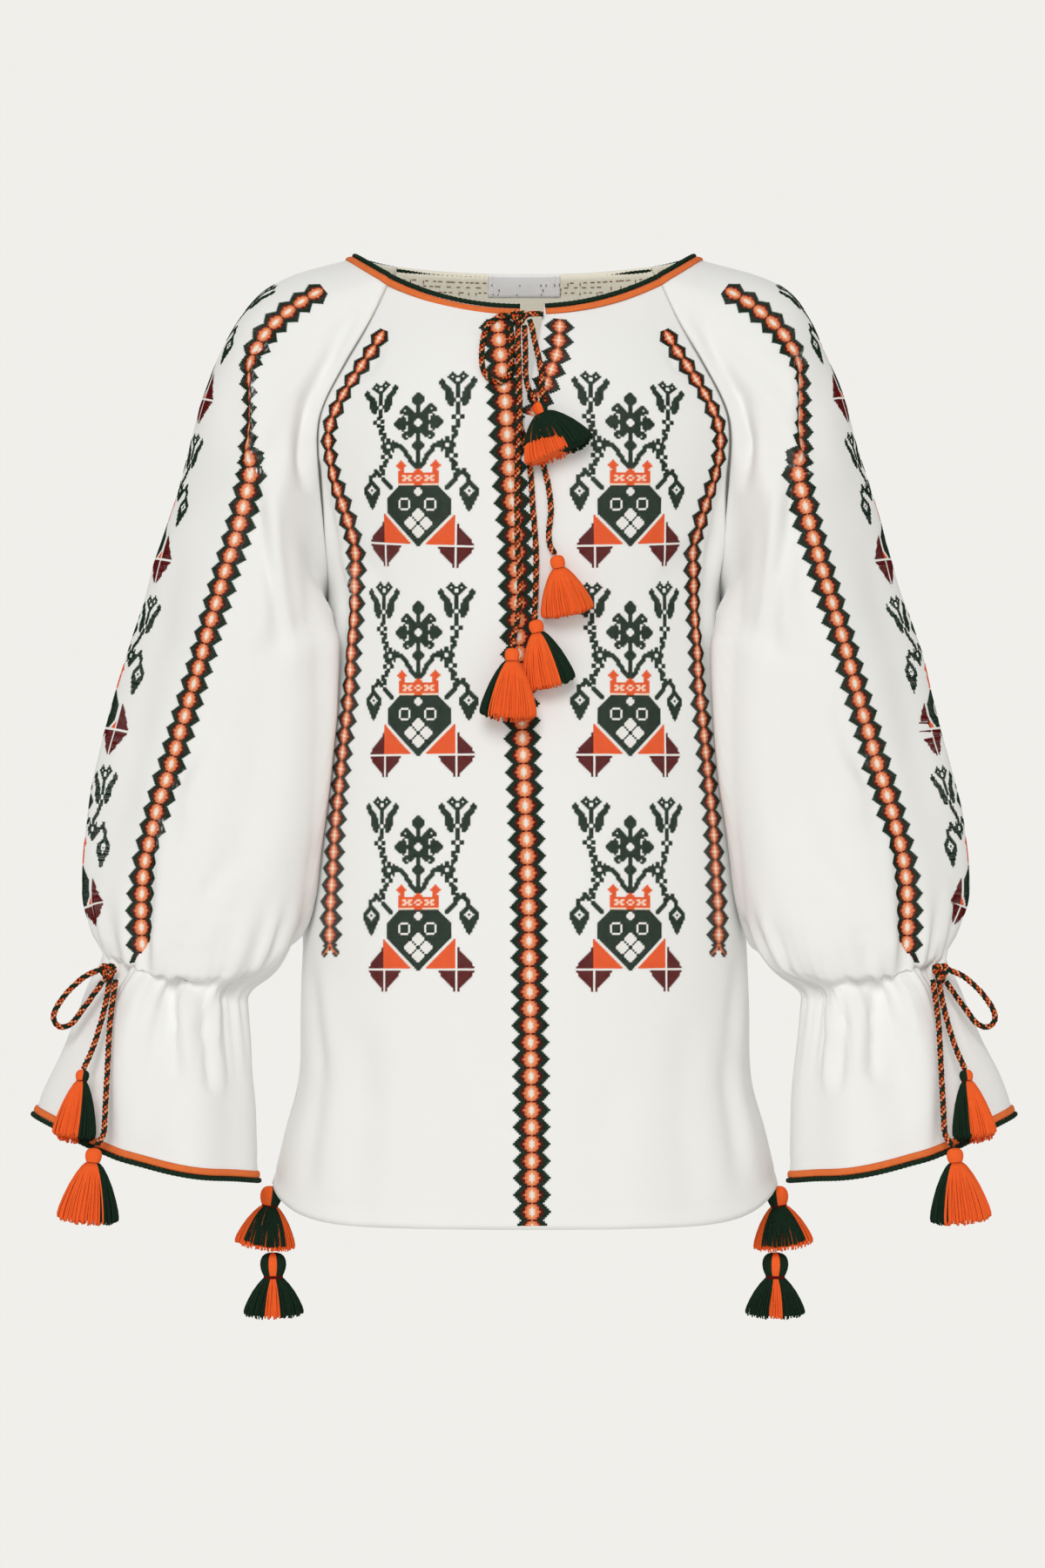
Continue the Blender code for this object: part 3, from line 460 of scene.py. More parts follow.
def make_tassel(tassel, sign=1.0, suffix=""):
    top = flipped(tassel.top, sign)
    foot = flipped(tassel.foot, sign)
    length = np.linalg.norm(foot - top)
    hang = (top - foot) / length
    aside = unit(np.cross((0.0, 1.0, 0.0), hang))
    deep = np.cross(hang, aside)
    flat = tassel.depth / tassel.radius
    rise = tassel.head * HEAD_RISE
    skirt = length - rise
    turned = slice(None, None, 1 if sign > 0 else -1)
    yarns, head_yarns = tassel.yarns[turned], tassel.head_yarns[turned]
    layer_yarns, lengths = tassel.layer[turned], tassel.lengths[turned]

    def place(across, back, down):
        return (top[None] + np.outer(across, aside) + np.outer(back, deep) - np.outer(down, hang))

    def pick(values, turn):
        return values[int(min(max((math.cos(turn) + 1) / 2, 0.0), 0.999) * len(values))]

    def yarn_at(names, turn):
        return YARN_ORDER.index(pick(names, turn))

    pile = Pile()
    # head: yarns bent over its top, as ribs
    fine = smooth(HEAD_OUTLINE, np.linspace(0, len(HEAD_OUTLINE) - 1, 9))
    edge = math.pi / HEAD_RIBS
    for rib in range(HEAD_RIBS):
        turn = 2 * math.pi * (rib + 0.5) / HEAD_RIBS
        strip = []
        for share, down in fine:
            for off, swell in ((-edge, 1.0), (0.0, 1.09), (edge, 1.0)):
                reach = max(share, 0.02) * tassel.head * swell
                strip.append((reach * math.cos(turn + off), reach * flat * 1.1 * math.sin(turn + off),
                              down * rise))
        pile.add(place(*np.array(strip).T), grid_faces(len(fine), 3), yarn_at(head_yarns, turn))
    # binding below the head
    for coil in range(3):
        turns = np.arange(20) * 2 * math.pi / 20
        reach = tassel.head * 0.76
        ring = place(reach * np.cos(turns), reach * flat * 1.1 * np.sin(turns),
                     np.full(20, rise * 0.98 + coil * BINDING_STEP))
        tube(pile, ring, 0.55, 5, YARN_ORDER.index("R"), closed=True)
    # skirt: hanging yarns in two layers round a plain core, and the shorter layer over them
    steps = smooth(SKIRT_OUTLINE, np.linspace(0, len(SKIRT_OUTLINE) - 1, 8))
    for layer in SKIRT_LAYERS:
        reach_share, count, thick = layer
        over = layer is SKIRT_LAYERS[-1]
        if over and not layer_yarns:
            continue
        for number in range(count):
            turn = 2 * math.pi * (number + RNG.uniform(-0.3, 0.3)) / count
            cut = RNG.uniform(0.965, 1.01)
            sway = RNG.uniform(-0.05, 0.05)
            puff = RNG.uniform(0.96, 1.02) * reach_share
            slot = pick(layer_yarns if over else yarns, turn)
            if slot == ".":
                continue
            if over:
                cut *= pick(lengths, turn)
            line = []
            for share, down in steps:
                share = float(np.interp(down * cut, steps[:, 1], steps[:, 0]))
                reach = share * tassel.radius * puff
                swing = turn + sway * down
                low = rise + down * cut * skirt * (1.0 - 0.1 * (share * math.cos(turn)) ** 4)
                line.append((reach * math.cos(swing), reach * flat * math.sin(swing), low))
            tube(pile, place(*np.array(line).T), thick, 4, YARN_ORDER.index(slot))
    turns = np.arange(CORE_SIDES) * 2 * math.pi / CORE_SIDES
    core = []
    for share, down in steps:
        reach = share * tassel.radius * 0.88
        core.append(place(reach * np.cos(turns), reach * flat * np.sin(turns),
                          np.full(CORE_SIDES, rise + down * skirt * 0.93)))
    around = [yarn_at(yarns, 2 * math.pi * (side + 0.5) / CORE_SIDES) for side in range(CORE_SIDES)]
    pile.add(np.array(core), grid_faces(len(core), CORE_SIDES, False, True), around * (len(core) - 1))
    middle = place(np.array((0.0,)), np.array((0.0,)), np.array((rise + skirt * 0.9,)))
    pile.add(np.concatenate((core[-1], middle)),
             [(side, (side + 1) % CORE_SIDES, CORE_SIDES) for side in range(CORE_SIDES)], around)
    return pile.make(tassel.name + suffix + "_yarn", tassel.name + suffix)


# ------------------------------------------------------------------ the blouse's surfaces

Section = namedtuple("Section", "name z_mid z_edge x_edge half_width depth roundness edge_power")
Torso = namedtuple("Torso", "name z_mid z_edge half_width front_depth back_depth edge_power")
Ring = namedtuple(
    "Ring", "name inner_x inner_y inner_z outer_x outer_y outer_z half_depth sag point"
)
Fold = namedtuple("Fold", "place breadth depth")

FRONT_YOKE = (
    Section("neckline", -40.5, -15, 97.5, 125, 85, 2.0, 2.2),
    Section("collarbone", -64, -50, 114, 139, 100, 2.1, 2.2),
    Section("upper chest", -91, -82, 132.5, 153, 111, 2.2, 2.0),
    Section("raglan crest", -116, -111, 147.5, 165, 118, 2.25, 2.0),
    Section("raglan bend", -135, -132, 152, 167, 121, 2.3, 2.0),
    Section("chest", -164, -163, 151, 162, 123, 2.3, 2.0),
    Section("bust line", -198, -198, 148, 154.5, 123, 2.25, 2.0),
    Section("armhole foot", -230, -230, 145, 148, 122, 2.2, 2.0),
)
BACK_YOKE = (
    Section("neckline", -3, 0, 95, 125, 70, 2.0, 2.2),
    Section("nape", -38, -42, 113, 139, 90, 2.1, 2.2),
    Section("shoulder blades", -79, -80, 132, 153, 103, 2.2, 2.0),
    Section("raglan crest", -111, -111, 147, 165, 110, 2.25, 2.0),
    Section("raglan bend", -132, -132, 152, 167, 113, 2.3, 2.0),
    Section("back", -164, -164, 151, 162, 115, 2.3, 2.0),
    Section("mid back", -198, -198, 148, 154.5, 115, 2.25, 2.0),
    Section("armhole foot", -230, -230, 145, 148, 114, 2.2, 2.0),
)
TORSO = (
    Torso("underarm", -254.5, -254.5, 145.5, 121, 113, 2.0),
    Torso("ribs", -300, -300, 148.5, 120, 112, 2.0),
    Torso("waist", -360, -360, 153, 119, 110, 2.0),
    Torso("high hip", -425, -425, 159, 119, 110, 2.0),
    Torso("hip", -490, -490, 164.5, 121, 113, 2.0),
    Torso("skirt", -560, -560, 166.5, 123, 116, 2.0),
    Torso("lower skirt", -612, -610, 168.5, 125, 119, 3.0),
    Torso("flare", -656, -649, 179.5, 127, 122, 6.0),
    Torso("hem", -712, -688, 189, 129, 125, 9.0),
)
TORSO_ROUNDNESS = 2.2
UNDERARM_ROW = len(FRONT_YOKE)
NECK_HALF_WIDTH = 125.0
NECK_SIDE_Z = 3.0
SLIT_LEFT_X, SLIT_RIGHT_X, SLIT_FOOT_X, SLIT_FOOT_ROW = -3.0, 15.0, -1.0, 3.4
SLEEVE_CLEAR = 2.4
SEAM_GAP = 0.35
NECK_FRONT_U, NECK_BACK_U = 0.4, 0.6

SLEEVE_RINGS = (
    Ring("shoulder", 151, -4, -262, 196, 0, -23, 68, 0, 0),
    Ring("cap", 148, -22, -271, 232, -2, -84.5, 66, 0, 0.45),
    Ring("upper arm", 144, -36, -283, 255, -5, -162, 60, 0, 0.8),
    Ring("arm", 140, -48, -297, 281, -10, -247, 54, 0, 1),
    Ring("elbow", 142, -52, -357, 307, -16, -334, 51, 0, 1),
    Ring("forearm", 151, -54, -422, 323, -22, -402, 51, 0, 1),
    Ring("puff", 159, -55, -478, 328.5, -26, -464, 53, 0, 0.9),
    Ring("puff foot", 167, -55, -500, 322, -28, -492, 53, 4, 0.7),
    Ring("puff lip", 181, -53, -523, 313, -32, -513, 47, 12, 0.5),
    Ring("gather", 203, -48, -542.5, 310, -40, -523, 33, 0, 0.3),
    Ring("flounce top", 205, -54, -560, 321, -38, -543, 41, 3, 0.4),
    Ring("flounce", 201, -57, -606, 338, -35, -583, 51, 6, 0.5),
    Ring("flounce foot", 198, -60, -649, 351, -32, -613, 58, 8, 0.5),
    Ring("cuff hem", 196, -62, -683, 359.5, -30, -637, 62, 9, 0.5),
)
EDGE_ACROSS, EDGE_DEEP = 1.3, 0.8
FLOUNCE_FOLDS = (
    Fold(0.06, 0.045, -9), Fold(0.15, 0.040, 6), Fold(0.235, 0.040, -8), Fold(0.32, 0.045, 5),
    Fold(0.41, 0.040, -7), Fold(0.52, 0.050, 5), Fold(0.62, 0.045, -8), Fold(0.73, 0.050, 6),
    Fold(0.84, 0.045, -8), Fold(0.93, 0.040, 5),
)
FOLD_RISE = ((9.0, 0.0), (9.6, 0.75), (10.5, 1.0), (12.0, 0.6), (13.0, 0.5), (14.0, 0.5))


def panel_rows(yoke, side):
    rows = [row[1:] for row in yoke]
    for row in TORSO:
        depth = row.front_depth if side < 0 else row.back_depth
        rows.append((row.z_mid, row.z_edge, row.half_width, row.half_width, depth,
                     TORSO_ROUNDNESS, row.edge_power))
    return np.array(rows, float)


FRONT_ROWS = panel_rows(FRONT_YOKE, -1)
BACK_ROWS = panel_rows(BACK_YOKE, 1)


def sections(rows, places):
    found = smooth(rows, places)
    found[:, 2] = np.minimum(found[:, 2], found[:, 3])
    return found


def edge_angles(found, x):
    """The angle at which each section reaches this x, with the sign of x."""
    share = np.minimum(np.abs(x) / found[:, 3], 1.0)
    return np.copysign(np.arcsin(share ** (found[:, 5] / 2)), x)


def body_points(found, angles, side):
    """Points of sections at these angles from the centre line; angles is (rows, columns)."""
    z_mid, z_edge, x_edge, half_width, depth, roundness, power = (
        found[:, column][:, None] for column in range(7))
    x = half_width * np.abs(np.sin(angles)) ** (2 / roundness)
    y = depth * np.maximum(np.cos(angles), 0.0) ** (2 / roundness)
    z = z_mid + (z_edge - z_mid) * np.minimum(x / x_edge, 1.0) ** power
    return np.stack((np.copysign(x, angles), side * y, z), axis=-1)


def panel_edge(rows, places, side, share=1.0):
    found = sections(rows, places)
    return body_points(found, (edge_angles(found, -found[:, 2]) * share)[:, None], side)[:, 0]


def sleeve_seam(rows, side, places):
    edges = panel_edge(rows, places, side)
    insides = panel_edge(rows, places, side, 0.9)
    along = unit(np.gradient(edges, axis=0))
    across = unit(edges - insides)
    across -= (across * along).sum(axis=1)[:, None] * along
    return edges + unit(across + np.array((-0.35, 0.0, -0.15))) * SEAM_GAP


def neck_side_points(ways):
    """The neckline over the shoulder, from the front raglan seam (0) to the back one (1)."""
    front = panel_edge(FRONT_ROWS, (0,), -1)[0]
    back = panel_edge(BACK_ROWS, (0,), 1)[0]
    start = math.atan2(front[1] / FRONT_ROWS[0][4], -front[0] / NECK_HALF_WIDTH)
    end = math.atan2(back[1] / BACK_ROWS[0][4], -back[0] / NECK_HALF_WIDTH)
    points = []
    for angle in start + (end - start) * np.asarray(ways):
        depth = FRONT_ROWS[0][4] if angle < 0 else BACK_ROWS[0][4]
        far = front if angle < 0 else back
        share = (math.sin(angle) / math.sin(start if angle < 0 else end)) ** 2
        points.append((-NECK_HALF_WIDTH * math.cos(angle), depth * math.sin(angle),
                       NECK_SIDE_Z + (far[2] - NECK_SIDE_Z) * share))
    return np.array(points)


def seam_ring(shares):
    places = np.linspace(UNDERARM_ROW, 0, 161)
    curves = (
        (sleeve_seam(FRONT_ROWS, -1, places), 0.0, NECK_FRONT_U),
        (neck_side_points(np.linspace(0.003, 0.997, 81)), NECK_FRONT_U, NECK_BACK_U),
        (sleeve_seam(BACK_ROWS, 1, places[::-1]), NECK_BACK_U, 1.0),
    )
    ring = np.zeros((len(shares), 3))
    for curve, low, high in curves:
        inside = (shares >= low) & (shares <= high)
        ring[inside] = at_shares(curve, (shares[inside] - low) / (high - low))
    return ring


def ring_points(ring, shares):
    """A ring: half an ellipse inside, and outside drawn in towards an edge as its point says."""
    inner = np.array((-ring.inner_x, ring.inner_y, ring.inner_z), float)
    outer = np.array((-ring.outer_x, ring.outer_y, ring.outer_z), float)
    half = np.linalg.norm(outer - inner) / 2
    outward = (outer - inner) / (2 * half)
    backward = unit(np.array((0.0, 1.0, 0.0)) - outward[1] * outward)
    angles = np.linspace(0, 2 * math.pi, 361)
    out, across = -np.cos(angles), np.sin(angles)
    edge = np.copysign((1 - np.maximum(out, 0) ** EDGE_ACROSS) ** EDGE_DEEP, across)
    across = np.where(out > 0, across + ring.point * (edge - across), across)
    points = ((inner + outer) / 2 + half * np.outer(out, outward)
              - ring.half_depth * np.outer(across, backward))
    points[:, 2] -= ring.sag * across**2
    return at_shares(points, shares)


def fold_push(shares, downs):
    strength = np.interp(downs, [row[0] for row in FOLD_RISE], [row[1] for row in FOLD_RISE])
    push = np.zeros(len(shares))
    for fold in FLOUNCE_FOLDS:
        off = (shares - fold.place + 0.5) % 1.0 - 0.5
        push += fold.depth * np.exp(-((off / fold.breadth) ** 2))
    return strength[:, None] * push[None, :]


# How near the body's side a sleeve's point has to be, at these heights, to be drawn in to it, and
# the share of that move that it makes round the underarm.
CLOSE = ((-430, 12.0), (-330, 20.0), (-254, 30.0))
UNDERARM_EASE = ((-264, 1.0), (-232, 0.0))
LEAST_SIDE = 40  # nearer the middle than this the body has no side


def rest_on_body(grid):
    """Sleeve points below the underarm, moved out of the body, and the nearest ones onto its side."""
    x, y, z = grid[..., 0], grid[..., 1], grid[..., 2]
    heights = [-row.z_edge for row in TORSO]
    half_width, front, back = (
        np.interp(-z, heights, [getattr(row, size) for row in TORSO]) + SLEEVE_CLEAR
        for size in ("half_width", "front_depth", "back_depth"))
    depth = np.where(y < 0, front, back)
    inward = np.maximum(1 - (np.abs(y) / depth) ** TORSO_ROUNDNESS, 0.0)
    side = half_width * inward ** (1 / TORSO_ROUNDNESS)
    moved = grid.copy()
    below = z <= TORSO[0].z_edge
    gap = np.maximum(-side - x, 0)
    close = np.interp(z, *zip(*CLOSE))
    gap -= np.where(gap < close, gap - gap**3 / close**2, 0) * np.interp(z, *zip(*UNDERARM_EASE))
    moved[..., 0] = np.where((below | (gap > 0)) & (side > LEAST_SIDE), -side - gap, x)
    return moved


def grid_normals(grid, closed=False):
    """Outward directions of a grid whose rows run down and columns run to the viewer's right."""
    down = np.gradient(grid, axis=0)
    if closed:
        across = np.roll(grid, -1, axis=1) - np.roll(grid, 1, axis=1)
    else:
        across = np.gradient(grid, axis=1)
    return unit(np.cross(down, across))


# ------------------------------------------------------------------ folds


def along_path(grid, normals, path):
    """Each point's distance from a path, with the side it is on as sign, and its way along it."""
    path = at_shares(np.asarray(path, float), np.linspace(0, 1, 15))
    points = grid.reshape(-1, 3)
    outs = normals.reshape(-1, 3)
    best = np.full(len(points), 1e9)
    way = np.zeros(len(points))
    side = np.zeros(len(points))
    for step, (start, end) in enumerate(zip(path, path[1:])):
        run = end - start
        share = np.clip(((points - start) @ run) / (run @ run), 0, 1)
        off = points - (start + share[:, None] * run)
        distance = np.linalg.norm(off, axis=1)
        near = distance < best
        best[near] = distance[near]
        way[near] = (step + share[near]) / (len(path) - 1)
        side[near] = np.sign((off[near] * np.cross(outs[near], unit(run))).sum(axis=1))
    shape = grid.shape[:2]
    return (best * side).reshape(shape), way.reshape(shape)


def uneven(way, seed):
    return np.sin(np.clip(way, 0, 1) * math.pi) ** 0.6 * (
        1 + 0.25 * np.sin(9 * way + seed) + 0.12 * np.sin(23 * way + 2 * seed))


def crease(grid, normals, path, width, depth, ridge=0.5, seed=0.0):
    """How far a soft trough along a path, with a ridge beside it, moves each point."""
    off, way = along_path(grid, normals, path)
    trough = -np.exp(-((off / width) ** 2)) + ridge * np.exp(-(((off - 1.7 * width) / width) ** 2))
    return depth * uneven(way, seed) * trough


def step_fold(grid, normals, path, width, height, reach):
    """How far a fold's edge moves each point: out on the path's right, as seen, and in on its left."""
    off, way = along_path(grid, normals, path)
    rise = np.tanh(off / width) * np.exp(-((off / reach) ** 2))
    return height / 2 * np.sin(np.clip(way, 0, 1) * math.pi) ** 0.8 * rise


def ripple(grid, size, height, seed):
    """Slow uneven rises and hollows, of about this size."""
    rng = np.random.default_rng(int(seed))
    total = np.zeros(grid.shape[:2])
    for _ in range(7):
        direction = unit(rng.normal(size=3)) * 2 * math.pi / size * rng.uniform(0.5, 1.3)
        total += np.sin(grid @ direction + rng.uniform(0, 6.3))
    return height * total / 2.6


def cast(tree, x, z, side):
    """The point of a surface at this x and z, seen from the front (-1) or the back (1)."""
    hit = tree.ray_cast(Vector((x, side * 400, z)), Vector((0, -side, 0)))[0]
    if hit is None:
        hit = tree.find_nearest(Vector((x, side * 110, z)))[0]
    return np.array(hit)


def tree_of(points, faces):
    return BVHTree.FromPolygons([tuple(point) for point in points], [tuple(face) for face in faces])


# ------------------------------------------------------------------ shells

CLOTH = 0.8  # thickness of the cloth
CREAM_ABOVE = -46  # above this height, round the neck, the wrong side has a cream tint painted in for the warm shade there
# The hem's seam: how far above the edge, how deep and how wide.
HEM_SEAM = (14, 0.5, 2.5)
CUFF_SEAM = (16, 0.5, 2.5)
FRONT_STEP, BACK_STEP = 4.4, 6.0  # between the rows of the panels' meshes
FRONT_COLUMNS, BACK_COLUMNS = 68, 50  # in half a panel

# Creases: a path of (x, z) on the left half, which the right half mirrors; then width, depth and
# the share of the depth that the ridge beside it rises.
FRONT_CREASES = (
    (((-122, -30), (-128, -70), (-141, -105)), 5, 1.2, 0.3),
    (((-150, -150), (-140, -215), (-133, -262), (-138, -330)), 9, 4.0, 0.5),
    (((-96, -250), (-118, -226), (-140, -206)), 9, 1.8, 0.4),
    (((-158, -520), (-150, -600), (-158, -690)), 11, 3.2, 0.5),
    (((-120, -560), (-116, -640), (-124, -708)), 14, 2.2, 0.5),
    (((-62, -600), (-56, -660), (-60, -712)), 16, 1.6, 0.4),
)
BACK_CREASES = (
    (((-150, -150), (-138, -215), (-134, -290)), 9, 3.6, 0.5),
    (((-60, -40), (-66, -110), (-58, -190)), 14, 1.8, 0.5),
    (((-100, -230), (-70, -300), (-84, -400)), 16, 2.4, 0.5),
    (((-40, -330), (-52, -430), (-40, -520)), 18, 2.2, 0.4),
    (((-120, -520), (-112, -610), (-122, -700)), 15, 3.0, 0.5),
    (((-50, -560), (-44, -640), (-52, -706)), 17, 2.4, 0.5),
)
# Of the front and the back: creases, two ripples (size, height, seed), a shift of the creases to
# the viewer's right, and which of a crease's points its unevenness is drawn from.
PANEL_FOLDS = {
    -1: (FRONT_CREASES, ((150, 0.9, 3), (60, 0.25, 4)), 0, 0),
    1: (BACK_CREASES, ((140, 1.1, 8), (60, 0.3, 9)), 6, 1),
}


def make_shell(name, points, faces, maps, replaced):
    """A shell of cloth, given its outer face; maps are places on the flat cloth."""
    mesh = bpy.data.meshes.new(name)
    mesh.from_pydata((np.asarray(points) * MM).tolist(), [], [tuple(face) for face in faces])
    # inner faces above CREAM_ABOVE take slot 1, the cream painted warm shade; the others take slot 3, the
    # plain wrong side
    for made in (LINEN, LINEN_PAINTED_WARM_SHADE, LINEN, LINEN_INSIDE):
        mesh.materials.append(made)
    for face in mesh.polygons:
        face.material_index = 0 if face.center.z > CREAM_ABOVE * MM else 2
    layer = mesh.uv_layers.new(name="weave")
    corners = np.array([loop.vertex_index for loop in mesh.loops])
    layer.data.foreach_set("uv", np.asarray(maps)[corners].reshape(-1).astype(np.float32))
    mesh.polygons.foreach_set("use_smooth", np.full(len(mesh.polygons), True))
    mesh.update()
    piece = link(bpy.data.objects.new(name, mesh))
    wall = piece.modifiers.new("wall", "SOLIDIFY")
    wall.thickness = CLOTH * MM
    wall.offset = -1.0
    wall.material_offset = 1
    wall.material_offset_rim = 0
    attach(piece, "root")
    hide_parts(replaced)
    return piece


def spaced_places(rows, step, side):
    fine = np.linspace(0, len(rows) - 1, 600)
    line = body_points(sections(rows, fine), np.full((600, 1), 0.02), side)[:, 0]
    along = lengths_along(line)
    count = int(along[-1] / step)
    return np.interp(np.linspace(0, along[-1], count + 1), along, fine)


def flat_maps(grid):
    """Places on the flat cloth, by lengths across from the middle column and down."""
    across = np.linalg.norm(np.diff(grid, axis=1), axis=-1)
    across = np.concatenate((np.zeros((len(grid), 1)), np.cumsum(across, axis=1)), axis=1)
    across -= across[:, grid.shape[1] // 2][:, None]
    down = lengths_along(grid[:, grid.shape[1] // 2])
    return np.stack((across, np.broadcast_to(down[:, None], across.shape)), axis=-1)


def half_panel(rows, places, side, inner_x, outward, columns):
    found = sections(rows, places)
    end = np.abs(edge_angles(found, found[:, 2]))
    start = edge_angles(found, inner_x) * outward
    shares = np.linspace(0, 1, columns + 1)
    angles = outward * (start[:, None] + (end - start)[:, None] * shares[None, :])
    return body_points(found, angles, side)


def seam_line(down, from_edge, depth, width):
    """A shallow groove this far above the lower edge, where it is sewn; down is each row's way down."""
    return -depth * np.exp(-(((down[-1] - down - from_edge) / width) ** 2))[:, None]


def panel_folds(grid, normals, tree, side):
    creases, (slow, quick), shift, seed_point = PANEL_FOLDS[side]
    push = ripple(grid, *slow) + ripple(grid, *quick)
    push += seam_line(lengths_along(grid[:, grid.shape[1] // 2]), *HEM_SEAM)
    for x_flip in (1, -1):
        for points, width, depth, ridge in creases:
            path = [cast(tree, x * x_flip + shift, z, side) for x, z in points]
            push += crease(grid, normals, path, width, depth, ridge, points[seed_point][0] * x_flip)
    return grid + normals * push[..., None]


def make_front():
    places = spaced_places(FRONT_ROWS, FRONT_STEP, -1)
    foot = int(np.argmin(np.abs(places - SLIT_FOOT_ROW)))
    places[foot] = SLIT_FOOT_ROW
    shut = np.clip(places / SLIT_FOOT_ROW, 0, 1)
    left, right = (
        half_panel(FRONT_ROWS, places, -1, start_x + (SLIT_FOOT_X - start_x) * shut, outward,
                   FRONT_COLUMNS)
        for start_x, outward in ((SLIT_LEFT_X, -1), (SLIT_RIGHT_X, 1)))
    left = left[:, ::-1]
    base = np.concatenate((left, right[:, 1:]), axis=1)
    tree = tree_of(base.reshape(-1, 3), grid_faces(*base.shape[:2], downward=True))
    left, right = (panel_folds(part, grid_normals(part), tree, -1) for part in (left, right))
    # the columns at the slit are apart above its foot and one below it
    middle = (left[foot:, -1] + right[foot:, 0]) / 2
    left[foot:, -1] = middle
    right[foot:, 0] = middle
    rows, columns = left.shape[:2]

    def number(row, column, half):
        if half and column == 0 and row >= foot:
            return row * columns + columns - 1
        return (half * rows + row) * columns + column

    faces = [
        (number(row, column, half), number(row + 1, column, half),
         number(row + 1, column + 1, half), number(row, column + 1, half))
        for half in (0, 1) for row in range(rows - 1) for column in range(columns - 1)
    ]
    points, maps = (np.concatenate([part.reshape(-1, part.shape[-1]) for part in both])
                    for both in ((left, right), (flat_maps(left), flat_maps(right))))
    used = sorted({corner for face in faces for corner in face})
    order = {old: new for new, old in enumerate(used)}
    faces = [tuple(order[corner] for corner in face) for face in faces]
    return make_shell("front", points[used], faces, maps[used], "front_panel"), tree_of(points[used], faces)


def make_back():
    places = spaced_places(BACK_ROWS, BACK_STEP, 1)
    left, right = (half_panel(BACK_ROWS, places, 1, np.full(len(places), outward * 0.001), outward,
                              BACK_COLUMNS) for outward in (-1, 1))
    grid = np.concatenate((left[:, ::-1], right[:, 1:]), axis=1)[:, ::-1]
    faces = grid_faces(*grid.shape[:2], downward=True)
    tree = tree_of(grid.reshape(-1, 3), faces)
    grid = panel_folds(grid, grid_normals(grid), tree, 1)
    piece = make_shell("back", grid.reshape(-1, 3), faces, flat_maps(grid).reshape(-1, 2), "back_panel")
    return piece, grid


SLEEVE_COLUMNS = 132
SLEEVE_GIRTH = 400  # of the flat cloth, about
# Spaces between the rows of the sleeve's mesh, in rings: from, to and how many.
SLEEVE_ROWS = ((0, 1, 18), (1, 8, 84), (8, 11, 46), (11, 14, 26))

# Folds of a sleeve at (x, z) as seen from the front; the same lie behind it, turned round.
# Steps are folds' edges, raised on the body's side: points, width, height and reach.
SLEEVE_STEPS = (
    (((-203, -72), (-202, -95), (-202, -125), (-205, -160)), 4.0, 15.0, 26),
    (((-266, -415), (-270, -450), (-272, -490), (-272, -528)), 4.0, 9.0, 20),
    (((-300, -556), (-302, -600), (-299, -650), (-300, -690)), 3.0, 10.0, 22),
)
SLEEVE_CREASES = (
    (((-127, -42), (-143, -76), (-158, -108), (-163, -134), (-163, -156), (-161, -176)),
     6.5, 10.0, 0.2),
    (((-197, -158), (-189, -225), (-176, -300)), 5, 3.4, 0.7),
    (((-258, -534), (-258, -560), (-254, -606)), 6, 7.0, 0.5),
    (((-232, -540), (-232, -570), (-227, -614)), 6, 7.0, 0.5),
    (((-226, -330), (-242, -372), (-262, -398)), 7, 2.2, 0.5),
    (((-212, -440), (-232, -470), (-246, -506)), 8, 2.6, 0.5),
)
# Softer creases all round: (u, v) with u the share of the way from the underarm by the front, and v
# down the rings; the first of them run down from the fold at the front of the shoulder.
ROUND_CREASES = (
    (((0.30, 0.9), (0.26, 2.2), (0.23, 3.4), (0.21, 4.6)), 9, 3.4, 0.6),
    (((0.36, 0.3), (0.335, 1.2), (0.31, 2.0)), 7, 2.2, 0.5),
    (((0.12, 2.5), (0.16, 4.2), (0.15, 6.0), (0.18, 7.5)), 14, 3.0, 0.5),
    (((0.05, 2.2), (0.10, 3.4), (0.20, 4.4)), 10, 2.4, 0.5),
    (((0.30, 5.2), (0.28, 6.6), (0.30, 8.2)), 15, 2.6, 0.5),
    (((0.42, 3.4), (0.40, 5.0), (0.41, 6.6)), 16, 2.0, 0.4),
    # similar ones behind
    (((0.70, 0.9), (0.74, 2.2), (0.77, 3.4), (0.79, 4.8)), 9, 3.2, 0.6),
    (((0.66, 0.5), (0.68, 1.4), (0.70, 2.2)), 8, 2.0, 0.5),
    (((0.88, 2.5), (0.84, 4.0), (0.86, 5.8), (0.82, 7.4)), 13, 3.0, 0.5),
    (((0.62, 4.4), (0.64, 6.0), (0.62, 7.6)), 15, 2.6, 0.5),
    (((0.72, 5.6), (0.75, 6.8), (0.73, 8.2)), 12, 2.4, 0.5),
)


